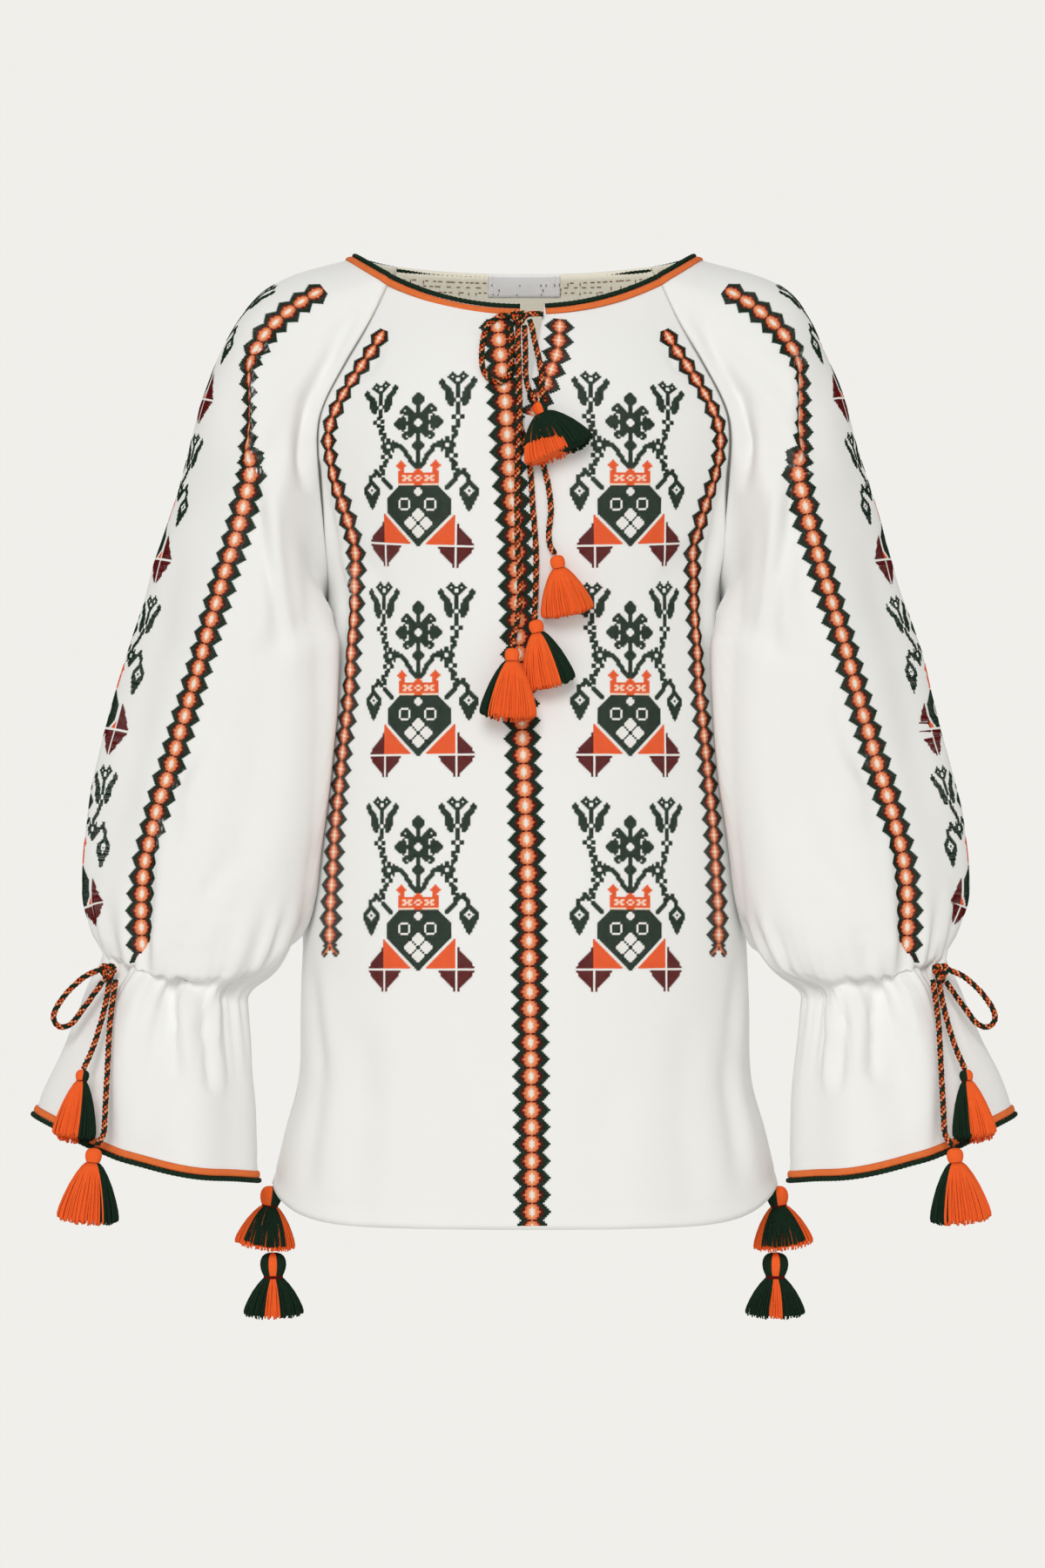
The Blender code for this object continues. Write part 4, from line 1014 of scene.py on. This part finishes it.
def sleeve_folds(grid, normals, shares, downs, tree, seed):
    """How far the sleeve's ripples, puckers and listed folds move each point."""
    turn = 2 * math.pi * shares
    push = ripple(grid, 110, 1.3, seed) + ripple(grid, 45, 0.35, seed + 1)
    push *= np.interp(downs, (0, 0.6, 1.5), (0, 0.5, 1))[:, None]
    # puckers where the drawstring gathers the cuff, fading up the puff and down the flounce
    crowd = np.interp(downs, (7.2, 8.6, 9.5, 10, 10.6, 12.2), (0, 0.45, 1, 1, 0.8, 0))
    wander = 1.6 * np.sin(turn * 3 + seed) + 0.9 * np.sin(turn * 5 + 2 * seed)
    puckers = (np.cos(24 * turn + 2 * wander) + 0.5 * np.cos(37 * turn - wander))
    push += 1.5 * crowd[:, None] * puckers[None, :]
    slow = np.interp(downs, (6.8, 8.4, 9.4), (0, 1, 0))
    push += 2.4 * slow[:, None] * np.cos(11 * turn + 1.5 * wander)[None, :]
    for points, width, depth, ridge in ROUND_CREASES:
        path = [grid[np.abs(downs - v).argmin(), np.abs(shares - u).argmin()] for u, v in points]
        push += crease(grid, normals, path, width, depth, ridge, seed + points[0][0] * 20)
    for facing in (-1, 1):
        for points, width, depth, ridge in SLEEVE_CREASES:
            path = [cast(tree, x, z - 4 * (facing > 0), facing) for x, z in points]
            push += crease(grid, normals, path, width, depth, ridge, seed + points[0][1])
        for points, width, height, reach in SLEEVE_STEPS:
            path = [cast(tree, x, z + 6 * (facing > 0), facing) for x, z in points[::-facing]]
            push += step_fold(grid, normals, path, width, height, reach)
    push += seam_line(lengths_along(grid[:, 0]), *CUFF_SEAM)
    return push * np.interp(downs, (0, 0.12), (0, 1))[:, None]


def make_sleeve(side, sign):
    shares = np.arange(SLEEVE_COLUMNS) / SLEEVE_COLUMNS
    downs = np.concatenate([np.linspace(low, high, count, endpoint=False)
                            for low, high, count in SLEEVE_ROWS] + [np.array((14.0,))])
    rings = np.array([seam_ring(shares)] + [ring_points(ring, shares) for ring in SLEEVE_RINGS])
    grid = smooth(rings, downs)
    centre = grid.mean(axis=1, keepdims=True)
    grid = grid + unit(grid - centre) * fold_push(shares, downs)[..., None]
    normals = -grid_normals(grid, closed=True)
    faces = grid_faces(*grid.shape[:2], wrapped=True, downward=True)
    inward_faces = [face[::-1] for face in faces]
    tree = tree_of(grid.reshape(-1, 3), inward_faces)
    push = sleeve_folds(grid, normals, shares, downs, tree, 5.0 if sign > 0 else 12.0)
    grid = flipped(rest_on_body(grid + normals * push[..., None]), sign)
    if sign > 0:
        faces = inward_faces
    down = lengths_along(grid[:, SLEEVE_COLUMNS // 4])
    maps = np.stack(np.broadcast_arrays(shares[None, :] * SLEEVE_GIRTH, down[:, None]), axis=-1)
    piece = make_shell("sleeve_" + side + "_cloth", grid.reshape(-1, 3), faces,
                       maps.reshape(-1, 2), "sleeve_" + side)
    return piece, tree_of(grid.reshape(-1, 3), faces), grid


# ------------------------------------------------------------------ embroidery

STITCH = 1.53  # size of a cross-stitch
STITCH_HALF_WIDTH = 0.44
STITCH_FOOT = 0.03
STITCH_RIDGES = (0.34, 0.52)  # heights of a stitch's lower and upper yarn
STITCH_SIZES = (0.9, 4.5)  # a stitch whose diagonal is outside these is left out


def nearest(tree, point):
    found = tree.find_nearest(Vector(point))
    return np.array(found[0]), np.array(found[1])


def march(tree, here, way, count, pitch):
    """Points a stitch apart over a surface, starting at a point and going one way."""
    points, normals = [], []
    for _ in range(count):
        after, normal = nearest(tree, here + way * pitch)
        step = after - here
        if np.linalg.norm(step) > 1e-6:
            way = step / np.linalg.norm(step)
        way = unit(way - (way @ normal) * normal)
        points.append(after)
        normals.append(normal)
        here = after
    return points, normals


def stitch_grid(tree, path, columns, pitch):
    """Corners of a grid of stitches laid along a path on a surface, and their normals."""
    corners, normals = [], []
    along = unit(np.gradient(path, axis=0))
    for point, way, pitch in zip(path, along, np.broadcast_to(pitch, len(path))):
        here, normal = nearest(tree, point)
        right = unit(np.cross(normal, way))
        middle = [here]
        if columns % 2:
            middle = [nearest(tree, here - right * pitch / 2)[0],
                      nearest(tree, here + right * pitch / 2)[0]]
        out, out_n = march(tree, middle[-1], right, columns // 2, pitch)
        back, back_n = march(tree, middle[0], -right, columns // 2, pitch)
        corners.append(back[::-1] + middle + out)
        normals.append(back_n[::-1] + [normal] * len(middle) + out_n)
    return np.array(corners), np.array(normals)


def lay_chart(pile, tree, path, chart, pitch, lift=0.0):
    """Crossed yarns, as a chart of yarn letters says, along a path with a point for each row's edge."""
    corners, normals = stitch_grid(tree, path, chart.shape[1], pitch)
    chart = chart[:len(path) - 1]
    rows, columns = np.nonzero(chart != ".")
    slots = np.array([YARN_ORDER.index(yarn) for yarn in chart[rows, columns]])
    top_left, top_right = corners[rows, columns], corners[rows, columns + 1]
    low_left, low_right = corners[rows + 1, columns], corners[rows + 1, columns + 1]
    out = unit(normals[rows, columns] + normals[rows + 1, columns + 1])
    sizes = np.linalg.norm(top_left - low_right, axis=1)
    good = (sizes > STITCH_SIZES[0]) & (sizes < STITCH_SIZES[1])
    for start, end, ridge in zip((top_left, low_left), (low_right, top_right), STITCH_RIDGES):
        start, end, up, slot = start[good], end[good], out[good], slots[good]
        count = len(start)
        wobble = RNG.normal(scale=0.045, size=(count, 3))
        start, end = start + wobble, end - wobble
        aside = unit(np.cross(end - start, up)) * STITCH_HALF_WIDTH
        low, high = up * (STITCH_FOOT + lift), up * (ridge + lift)
        points = np.stack((start - aside + low, start + high * 0.8, start + aside + low,
                           end - aside + low, end + high * 0.8, end + aside + low), axis=1)
        base = np.arange(count)[:, None] * 6
        faces = np.concatenate((base + np.array((0, 3, 4, 1)), base + np.array((1, 4, 5, 2))))
        pile.add(points, faces, np.concatenate((slot, slot)))


def path_on(tree, points, side, pitch, x_flip=1.0):
    """A path over a surface through these (x, z), with a point every stitch."""
    line = np.array([cast(tree, x * x_flip, z, side) for x, z in points])
    return route_points(line, pitch)


# Bands: stars between dark teeth.  Each line is half a row of stitches, from the middle out; the
# first is a star's own row, and the others lie further and further above and below it.
STAR_ROWS = ("WLPPCRGGGG", "WLPCRRGGG.", "LPPCRGGG..", "PPCRGGG...", "CRRGGG....")
THIN_ROWS = ("WLPCRGGG", "LPCRRGG.", "LPCRGG..", "PCRGG...", "CRGG....")
SIDE_END = ("RCGG....", "GPCGG...", "..PCGG..", "..GRCG..", "...GG...")
BAND_PERIOD = 8


def band_chart(rows, count, end=()):
    """A band's yarn letters: stars one after another, and then its own lower end."""
    half = [rows[abs(row % BAND_PERIOD - BAND_PERIOD // 2)] for row in range(count - len(end))]
    return np.array([list(row[:0:-1] + row) for row in half + list(end)])


# The flower motif's drawings, in rows of stitches from the top.  Each row is its left half, and
# the right half mirrors it; the bud's rows end with the stitch in its middle.
TULIP = """
......G..
.....GGG.
....GG.GG
.G...GGG.
GGG...GG.
GGG....GG
.GGG....G
.GGGG...G
..GGGG..G
...GGG..G
...GGGG.G
...GGGG.G
...GGGG.G
...GGGGG.
....GGGG.
....GGG.G
.....GG.G
"""
FLOWER = """
...........G
..........GG
.........GGG
.........GGG
.........GGG
..........GG
.....GG....G
....GGGG...G
...GG.GGG..G
...GGGGGGG.G
.....GGGGGGG
....G..GGGGG
..GGGG.GGGGG
.GGGGG.GGGG.
GGGGGGGGGG..
GGGGGGGGGG..
.GGGGG.GGGG.
..GGGG.GGGGG
....G..GGGGG
.....GGGGGGG
....GGGGGG.G
....GG.GG..G
.....GG....G
...........G
..........GG
.........GGG
.........GGG
..........GG
"""
SIDE_FLOWER = """
...G
.G.G
.GGG
GGG.
GGG.
.GGG
.G.G
...G
"""
BUD = """
....G
...GG
..GGG
.GGG.
GGG..
GG..G
GGG..
GGGG.
.GGGG
.GGGG
..GGG
..GGG
...GG
...GG
....G
"""
CROWN = """
..O........
.OOO.......
OOOOO......
.OOO.......
..OO......O
.OOO.....OO
.OOOOOOOOOO
.OOLLOLLOOL
.OOOLLLOOLO
.OOLLOLLOOL
.OOOOOOOOOO
.........OO
"""
DIAMOND = "..W .WW WWW WWW .WW ..W"
PLUS = ".W WW WW .W"
RING = ".WW W.. W.. W.. W.. .WW"
MOTIF_HALF = 29  # stitches each side of the motif's middle

# Where the drawings stand, in rows from the motif's top: the first rows of the flower, the side
# flowers, the buds, the crown and the heart, and the diamonds' middle, half width and half height.
Plan = namedtuple("Plan", "rows wraps flower side bud crown heart diamond reach rise")
CHEST_PLAN = Plan(97, False, 12, 34, 54, 45, 57, 85, 9.5, 11)
SLEEVE_PLAN = Plan(78, True, 4, 27, 33, 35, 47, 64, 10, 13)


def motif_chart(plan):
    """The whole motif as a grid of yarn letters; one that wraps goes on from its foot to its top."""
    chart = np.full((plan.rows, 2 * MOTIF_HALF), ".", dtype="<U1")

    def put(row, column, yarn):
        row, column = int(math.floor(row)), int(math.floor(column)) + MOTIF_HALF
        if plan.wraps:
            row %= plan.rows
        if 0 <= row < plan.rows and 0 <= column < 2 * MOTIF_HALF:
            chart[row, column] = yarn

    def place(drawing, middle, first, shared=0):
        for row, half in enumerate(drawing.split()):
            line = half + half[::-1][shared:]
            for column, yarn in enumerate(line):
                if yarn != ".":
                    put(first + row, middle - len(line) / 2 + column + 0.25, yarn)

    def stem(points, sway=0):
        """A line two stitches thick through (column, row) places; sway steps it from side to side."""
        for (start_c, start_r), (end_c, end_r) in zip(points, points[1:]):
            steps = int(max(abs(end_c - start_c), abs(end_r - start_r), 1))
            for step in range(steps + 1):
                column = start_c + (end_c - start_c) * step / steps
                row = start_r + (end_r - start_r) * step / steps
                column += sway * (1 if step % 4 < 2 else -1)
                for down in (-0.75, 0.25):
                    for aside in (-0.75, 0.25):
                        put(row + down, column + aside, "G")

    def open_diamond(middle, row):
        for aside, down in ((0, -2), (-2, 0), (2, 0), (0, 2)):
            stem(((middle + aside, row + down), (middle + aside, row + down)))

    # heart
    foot = plan.heart + 28
    for row in range(plan.heart, foot + 1):
        half = min(10.5 + row - plan.heart, 16, 1.03 * (foot - row) + 1)
        for column in range(-16, 16):
            if abs(column + 0.5) < half:
                put(row, column, "G")
        for column in range(-10, 10):
            put(plan.heart - 1, column, "L")
    place(PLUS, 0, plan.heart + 1)
    for across, down in ((0, -4), (-4, 0), (4, 0), (0, 4)):
        place(DIAMOND, across, plan.heart + 15 + down)
    for mirror in (-1, 1):
        place(RING, mirror * 6.5, plan.heart + 6)
        # quartered diamond; its upper inner quarter is orange and drawn up along the heart
        middle = 18 * mirror
        for row in range(-plan.rise, plan.rise + 1):
            for column in range(-10, 11):
                inner = column * mirror < 0
                if abs(row) / plan.rise + abs(column) / plan.reach > 1.02 or (inner and row < 0):
                    continue
                put(plan.diamond + row, middle + column, "W" if row == 0 or column == 0 else "R")
        for row in range(plan.diamond - 14, plan.diamond):
            edge = 1.03 * (foot - row) + 1
            for column in range(0, 18):
                if column + 0.5 > edge:
                    put(row, mirror * (column + 0.5), "W" if column < edge + 1 else "O")
        place(TULIP, mirror * 19, 3)
        place(SIDE_FLOWER, mirror * 14.5, plan.side)
        place(BUD, mirror * 24.5, plan.bud, shared=1)
        bend = plan.bud - 2
        if plan.wraps:
            stem(((mirror * 19, 20), (mirror * 17, 24), (mirror * 14.5, plan.side)))
        else:
            stem(((mirror * 19, 20), (mirror * 19, 22)))
            open_diamond(mirror * 19.3, 25)
            stem(((mirror * 18.5, 28), (mirror * 17.5, 34)), sway=0.6)
            open_diamond(mirror * 16.2, 43)
            stem(((mirror * 17, 46), (mirror * 19, bend)), sway=0.6)
            stem(((mirror * 18, bend + 2), (mirror * 14, plan.heart + 1)))
        stem(((mirror * 15, plan.side + 8), (mirror * 19.5, bend), (mirror * 22, bend - 1.5),
              (mirror * 24.5, bend + 1), (mirror * 24.5, plan.bud))[1 - plan.wraps:])
        top = plan.crown - 8
        stem(((mirror * 10.5, top + 0.5), (mirror * 8.5, top + 1), (mirror * 6, top + 4),
              (mirror * 4, top + 7), (mirror * 3, top + 9), (0, top + 12)))
    stem(((0, plan.flower + 28), (0, plan.crown + 5)))
    place(FLOWER, 0, plan.flower)
    place(CROWN, 0, plan.crown)
    return chart


CENTRE_BAND = ((-20.2, -50.8), (-18.3, -68.4), (-13.9, -112.6), (-10.7, -163), (-6.3, -213.5),
               (-5, -263.9), (-1.3, -358.5), (2.5, -453), (3.8, -528.7), (5, -610.7), (5.7, -709))
SLIT_BAND = ((26, -51), (24.5, -72.9), (20, -88), (15.8, -100), (11.8, -108.8), (6.5, -124))
SIDE_BAND = ((-102.7, -57.3), (-112.2, -73.1), (-124.9, -92.1), (-137.6, -114.3), (-143.9, -136.5),
             (-140.7, -161.8), (-132.5, -187.2), (-124.9, -212.5), (-124.3, -250.6),
             (-126.8, -288.6), (-128, -314), (-132.5, -358.3), (-135.7, -390), (-138.8, -421.7),
             (-140.7, -453.4), (-142.7, -491.4), (-142.7, -516.8))
SLEEVE_BAND = ((-148.2, -24.5), (-170.6, -38.6), (-193, -60.9), (-202.5, -89.7), (-201.9, -128),
               (-200.6, -160), (-205.7, -185.5), (-212, -211), (-226.8, -262.2), (-240.9, -313.3),
               (-253.7, -358), (-263.3, -390), (-272.2, -422), (-279, -454), (-280.5, -492),
               (-279, -520))
TAPERED_ROWS = 14  # of a sleeve band's lower end
CHEST_MOTIF_ROW = 1.52
CHEST_MOTIF_X = 77
CHEST_MOTIF_HEIGHTS = (-162.4, -312.6, -468.4)
# The sleeve's motif has its middle this far behind the outer fold, at heights down the sleeve.
SLEEVE_MOTIF_BEHIND = ((-60, 13.5), (-250, 12), (-480, 12))
SLEEVE_DIAMOND_HEIGHTS = (-104.0, -225.0, -350.6, -479.8)


def embroider_front(tree):
    pile = Pile()
    for route, rows, pitch, lift in ((SLIT_BAND, THIN_ROWS, 1.45, 0.0),
                                     (CENTRE_BAND, STAR_ROWS, 1.42, 0.15)):
        path = path_on(tree, route, -1, STITCH)
        lay_chart(pile, tree, path, band_chart(rows, len(path) - 1), pitch, lift)
    for x_flip in (1.0, -1.0):
        path = path_on(tree, SIDE_BAND, -1, STITCH, x_flip)
        pitch = np.interp(np.linspace(0, 1, len(path)), (0, 0.3, 1), (1.25, 1.4, 1.95))
        lay_chart(pile, tree, path, band_chart(THIN_ROWS, len(path) - 1, SIDE_END), pitch)
    pile.make("front_bands")
    chart = motif_chart(CHEST_PLAN)
    half = CHEST_PLAN.rows * CHEST_MOTIF_ROW / 2
    places = np.arange(CHEST_PLAN.rows + 1) * CHEST_MOTIF_ROW
    for side, x in (("left", -CHEST_MOTIF_X), ("right", CHEST_MOTIF_X)):
        pile = Pile()
        for z in CHEST_MOTIF_HEIGHTS:
            line = np.array([cast(tree, x, z + half - step * 3.0, -1)
                             for step in range(int(2 * half / 3) + 3)])
            lay_chart(pile, tree, at_shares(line, places / lengths_along(line)[-1]), chart, 1.56)
        pile.make("front_motifs_" + side)


def line_behind_fold(grid, sign):
    """A line down the sleeve, at its set distance behind the outermost points."""
    outs = grid_normals(grid, closed=True)[:, :, 1] * -sign
    first, last = int(0.3 * SLEEVE_COLUMNS), int(0.75 * SLEEVE_COLUMNS)
    turned = np.array([first + int(np.argmax(row[first:last] > 0)) for row in outs], float)
    extreme = np.array([int(np.argmin(row[:, 0] * sign)) for row in grid], float)
    low = np.interp(-grid[:, first, 2], (300, 380), (0, 1))
    around = turned + (extreme - turned) * low
    span = np.ones(15) / 15
    around = np.convolve(np.pad(around, 7, mode="edge"), span, mode="valid")
    points = []
    for row, column in zip(grid, around):
        first = int(column)
        back = np.array([row[(first + step) % len(row)] for step in range(40)])
        start = row[first] + (row[(first + 1) % len(row)] - row[first]) * (column - first)
        back = np.concatenate((start[None], back[1:]))
        far = np.interp(-start[2], [-height for height, _ in SLEEVE_MOTIF_BEHIND],
                        [gap for _, gap in SLEEVE_MOTIF_BEHIND])
        points.append(at_shares(back, (far / lengths_along(back)[-1],))[0])
    return np.array(points)


def embroider_sleeve(side, sign, tree, grid):
    pile = Pile()
    for facing in (-1, 1):
        path = path_on(tree, SLEEVE_BAND, facing, STITCH, sign)
        chart = band_chart(STAR_ROWS, len(path) - 1)
        width = chart.shape[1]
        for step in range(TAPERED_ROWS):  # a fold hides its end from the body's side
            cut = int(1.2 * step)
            hidden = slice(width - cut, width) if sign * facing < 0 else slice(0, cut)
            chart[step - TAPERED_ROWS, hidden] = "."
        lay_chart(pile, tree, path, chart, 1.36)
    pile.make("sleeve_" + side + "_bands")
    line = line_behind_fold(grid, sign)
    along = lengths_along(line)
    below = line[:, 2] < -40
    marks = [float(np.interp(-height, -line[:, 2][below], along[below]))
             for height in SLEEVE_DIAMOND_HEIGHTS]
    starts = [marks[0] - (marks[1] - marks[0])] + marks
    pile = Pile()
    chart = motif_chart(SLEEVE_PLAN)
    for start, end in zip(starts, marks):
        pitch = (end - start) / SLEEVE_PLAN.rows
        places = end - SLEEVE_PLAN.diamond * pitch + np.arange(SLEEVE_PLAN.rows + 1) * pitch
        kept = places > 4
        path = at_shares(line, places[kept] / along[-1])
        lay_chart(pile, tree, path, chart[len(kept) - kept.sum():], 1.5)
    pile.make("sleeve_" + side + "_motifs")


# ------------------------------------------------------------------ trims

CORD_RADIUS = 1.7
BRAID_WIDTH = 5.6
BRAID_THICKNESS = 1.5
TRIM_STEP = 1.3
CORD_SIDES, CORD_TWIST = 8, 3.6


def even_trim(line, below, closed):
    """An edge and the points below it, at even steps."""
    if closed:
        line = np.concatenate((line, line[:1]))
        below = np.concatenate((below, below[:1]))
    along = lengths_along(line)
    count = int(along[-1] / TRIM_STEP)
    places = np.linspace(0, along[-1], count + 1)
    if closed:
        places = places[:-1]
    spread = [np.stack([np.interp(places, along, points[:, axis]) for axis in range(3)], axis=1)
              for points in (line, below)]
    return spread[0], spread[1], places


def sweep(name, replaced, made, rings, closed, inside_out):
    """A piece swept along an edge: rings of points, one at each place."""
    rows, sides = rings.shape[:2]
    pile = Pile()
    faces = np.array(grid_faces(rows, sides, closed, True))
    pile.add(rings, faces[:, ::-1] if inside_out else faces)
    if not closed:
        for start in (0, (rows - 1) * sides):
            pile.faces.append([start + side for side in range(sides)])
            pile.slots.append(0)
    pile.make(name, replaced, [made])


def make_trims(label, suffix, line, below, closed, sign=1.0, back_drop=0.0):
    """Twisted green cord along the edge and a flat orange braid below it."""
    line, below, places = even_trim(line, below, closed)
    along = run_of(line, closed)
    down = below - line
    down = unit(down - (down * along).sum(axis=1)[:, None] * along)
    line, down, out = (flipped(vectors, sign) for vectors in (line, down, np.cross(along, down)))
    turns = np.arange(CORD_SIDES) * 2 * math.pi / CORD_SIDES
    drop = 1.5 + back_drop * np.interp(line[:, 1], (0, 40), (0, 1))[:, None]
    centre = line + down * drop + out * 1.1
    swell = CORD_RADIUS * (
        1 + 0.13 * np.cos(2 * turns[None, :] + 2 * math.pi * places[:, None] / CORD_TWIST))
    cord = centre[:, None] + swell[..., None] * (
        np.cos(turns)[None, :, None] * down[:, None] + np.sin(turns)[None, :, None] * out[:, None])
    sweep(label + "_cord_twist" + suffix, label + "_cord_green" + suffix,
          YARNS["G"], cord, closed, sign < 0)

    across = np.linspace(-1, 1, 9)
    chevron = np.abs(((places[:, None] / 2.6 + np.abs(across)[None, :] * 0.9) % 1.0) - 0.5) * 2
    height = (BRAID_THICKNESS * (1 - across[None, :] ** 4) * 0.8
              + 0.35 * chevron * (1 - across[None, :] ** 6))
    centre = line + down * (3.2 + BRAID_WIDTH / 2) + out * 0.25
    top = (centre[:, None] + across[None, :, None] * BRAID_WIDTH / 2 * down[:, None]
           + height[..., None] * out[:, None])
    under = centre[:, None] + across[None, ::-1, None] * BRAID_WIDTH / 2 * down[:, None]
    sweep(label + "_braid_flat" + suffix, label + "_braid_orange" + suffix, TAPE,
          np.concatenate((top, under[:, 1:-1]), axis=1), closed, sign > 0)


def neck_half(slit_x, rings, shares):
    """The neckline from the slit over the left shoulder to the middle of the back, and below it."""
    ways = np.linspace(0, 1, 61)
    halves = []
    for rows, side, middle_x, steps in ((FRONT_ROWS, -1, slit_x, ways),
                                        (BACK_ROWS, 1, -0.001, ways[::-1])):
        found = sections(rows, (0, 0.25))
        end = np.abs(edge_angles(found, found[:, 2]))
        start = -edge_angles(found, middle_x)
        angles = -(start[:, None] + (end - start)[:, None] * steps[None, :])
        halves.append(body_points(found, angles, side))
    over = (shares > NECK_FRONT_U) & (shares < NECK_BACK_U)
    shoulder = (rings[0][over], smooth(rings, (0.25,))[0][over])
    return [np.concatenate((halves[0][row], shoulder[row], halves[1][row])) for row in (0, 1)]


def make_neck_trims():
    shares = np.arange(400) / 400
    rings = np.array([seam_ring(shares)] + [ring_points(ring, shares) for ring in SLEEVE_RINGS[:3]])
    left, left_below = neck_half(SLIT_LEFT_X, rings, shares)
    right, right_below = neck_half(-SLIT_RIGHT_X, rings, shares)
    line = np.concatenate((left, flipped(right, -1.0)[-2::-1]))
    below = np.concatenate((left_below, flipped(right_below, -1.0)[-2::-1]))
    make_trims("neck", "", line, below, False, back_drop=1.1)


# ------------------------------------------------------------------ back neck

LABEL_TOP = 0.8
LABEL_SIZE = (55.0, 16.5)
LABEL_COLUMNS, LABEL_ROWS = 31, 9
YOKE_DROP = 35.0  # from the back's first section to its second
# Rows of stitches on the wrong side: their place down the cloth's rows, their gaps and lengths.
WRONG_SIDE_ROWS = ((1.3, 5.0, 3.0), (1.95, 6.6, 3.6), (2.65, 4.4, 2.4))


def make_label():
    """A blank woven tab inside the back neck, sewn at its two ends."""
    wide, high = LABEL_SIZE
    found = sections(BACK_ROWS, np.linspace(LABEL_TOP, LABEL_TOP + high, LABEL_ROWS) / YOKE_DROP)
    across = np.linspace(-wide / 2, wide / 2, LABEL_COLUMNS)
    across[LABEL_COLUMNS // 2] = 0.001
    points = []
    for row in range(LABEL_ROWS):
        one = found[row:row + 1]
        angles = np.array([[float(edge_angles(one, x)[0]) for x in across]])
        line = body_points(one, angles, 1)[0]
        bow = 0.5 * np.cos(across / wide * math.pi) * math.sin(math.pi * row / (LABEL_ROWS - 1))
        line[:, 1] -= 1.6 + bow
        points.append(line)
    points = np.array(points)
    under = points + np.array((0, 0.5, 0))
    offset = LABEL_ROWS * LABEL_COLUMNS
    faces = [tuple(int(corner) for corner in face) for face in grid_faces(LABEL_ROWS, LABEL_COLUMNS)]
    grid = np.arange(offset).reshape(LABEL_ROWS, LABEL_COLUMNS)
    rim = [*grid[0], *grid[1:, -1], *grid[-1, -2::-1], *grid[-2:0:-1, 0]]
    faces_under = [tuple(corner + offset for corner in face[::-1]) for face in faces]
    sides = [(here, here + offset, after + offset, after)
             for here, after in zip(rim, rim[1:] + rim[:1])]
    pile = Pile()
    pile.add(np.concatenate((points.reshape(-1, 3), under.reshape(-1, 3))),
             faces + faces_under + sides)
    for end in (2, LABEL_COLUMNS - 3):
        for start, stop in zip(points[:-1, end], points[1:, end]):
            line = np.array((start + (stop - start) * 0.15, start + (stop - start) * 0.85))
            line[:, 1] -= 0.12
            tube(pile, line, 0.18, 4, 1)
    pile.make("neck_label_tab", "neck_label", [TAB, YARNS["W"]])


def make_wrong_side(grid):
    """Rows of small faded stitches on the inside of the back neck."""
    pile = Pile()
    for row, gap, long in WRONG_SIDE_ROWS:
        low = int(row)
        line = grid[low] + (grid[low + 1] - grid[low]) * (row - low)
        line = at_shares(line, np.linspace(0, 1, 241))
        inward = np.array((0, -1.1, -0.1))
        length = lengths_along(line)[-1]
        place = 6.0
        while place < length - 6:
            reach = long * RNG.uniform(0.7, 1.25)
            ends = at_shares(line, np.array((place, place + reach)) / length) + inward
            if RNG.uniform() < 0.3:
                ends[1] = ends[0] + np.array((0, 0, -long * 0.7))
            tube(pile, ends, 0.42, 4, YARN_ORDER.index("B"))
            place += gap * RNG.uniform(0.75, 1.3)
    pile.make("neck_wrong_side_stitches")


# ------------------------------------------------------------------ everything

TIES = {name: make_tie(name, route) for name, route in NECK_TIES.items()}
for cuff_side, cuff_sign in SIDES:
    for tie_name, tie_route in CUFF_TIES.items():
        full_name = tie_name + "_" + cuff_side
        TIES[full_name] = make_tie(full_name, flipped(tie_route, cuff_sign))
make_knot("neck_knot", *NECK_KNOT)
for cuff_side, cuff_sign in SIDES:
    make_knot("cuff_knot_" + cuff_side, *CUFF_KNOT, cuff_sign)

for one_tassel in TASSELS:
    if one_tassel.name.startswith("neck"):
        make_tassel(one_tassel)
    else:
        for cuff_side, cuff_sign in SIDES:
            make_tassel(
                one_tassel, cuff_sign, "_" + cuff_side)

for tie_name, (tie_piece, tie_line) in TIES.items():
    if tie_name == "neck_tie_bridge":  # too short to be declared as a cord
        continue

FRONT, FRONT_TREE = make_front()
BACK, BACK_GRID = make_back()
embroider_front(FRONT_TREE)
make_neck_trims()
make_label()
make_wrong_side(BACK_GRID)
for cuff_side, cuff_sign in SIDES:
    piece, tree, grid = make_sleeve(cuff_side, cuff_sign)
    embroider_sleeve(cuff_side, cuff_sign, tree, grid)
    hem = flipped(grid[-1], cuff_sign)[::-1]
    above = flipped(grid[-4], cuff_sign)[::-1]
    make_trims("cuff", "_" + cuff_side, hem, above, True, cuff_sign)
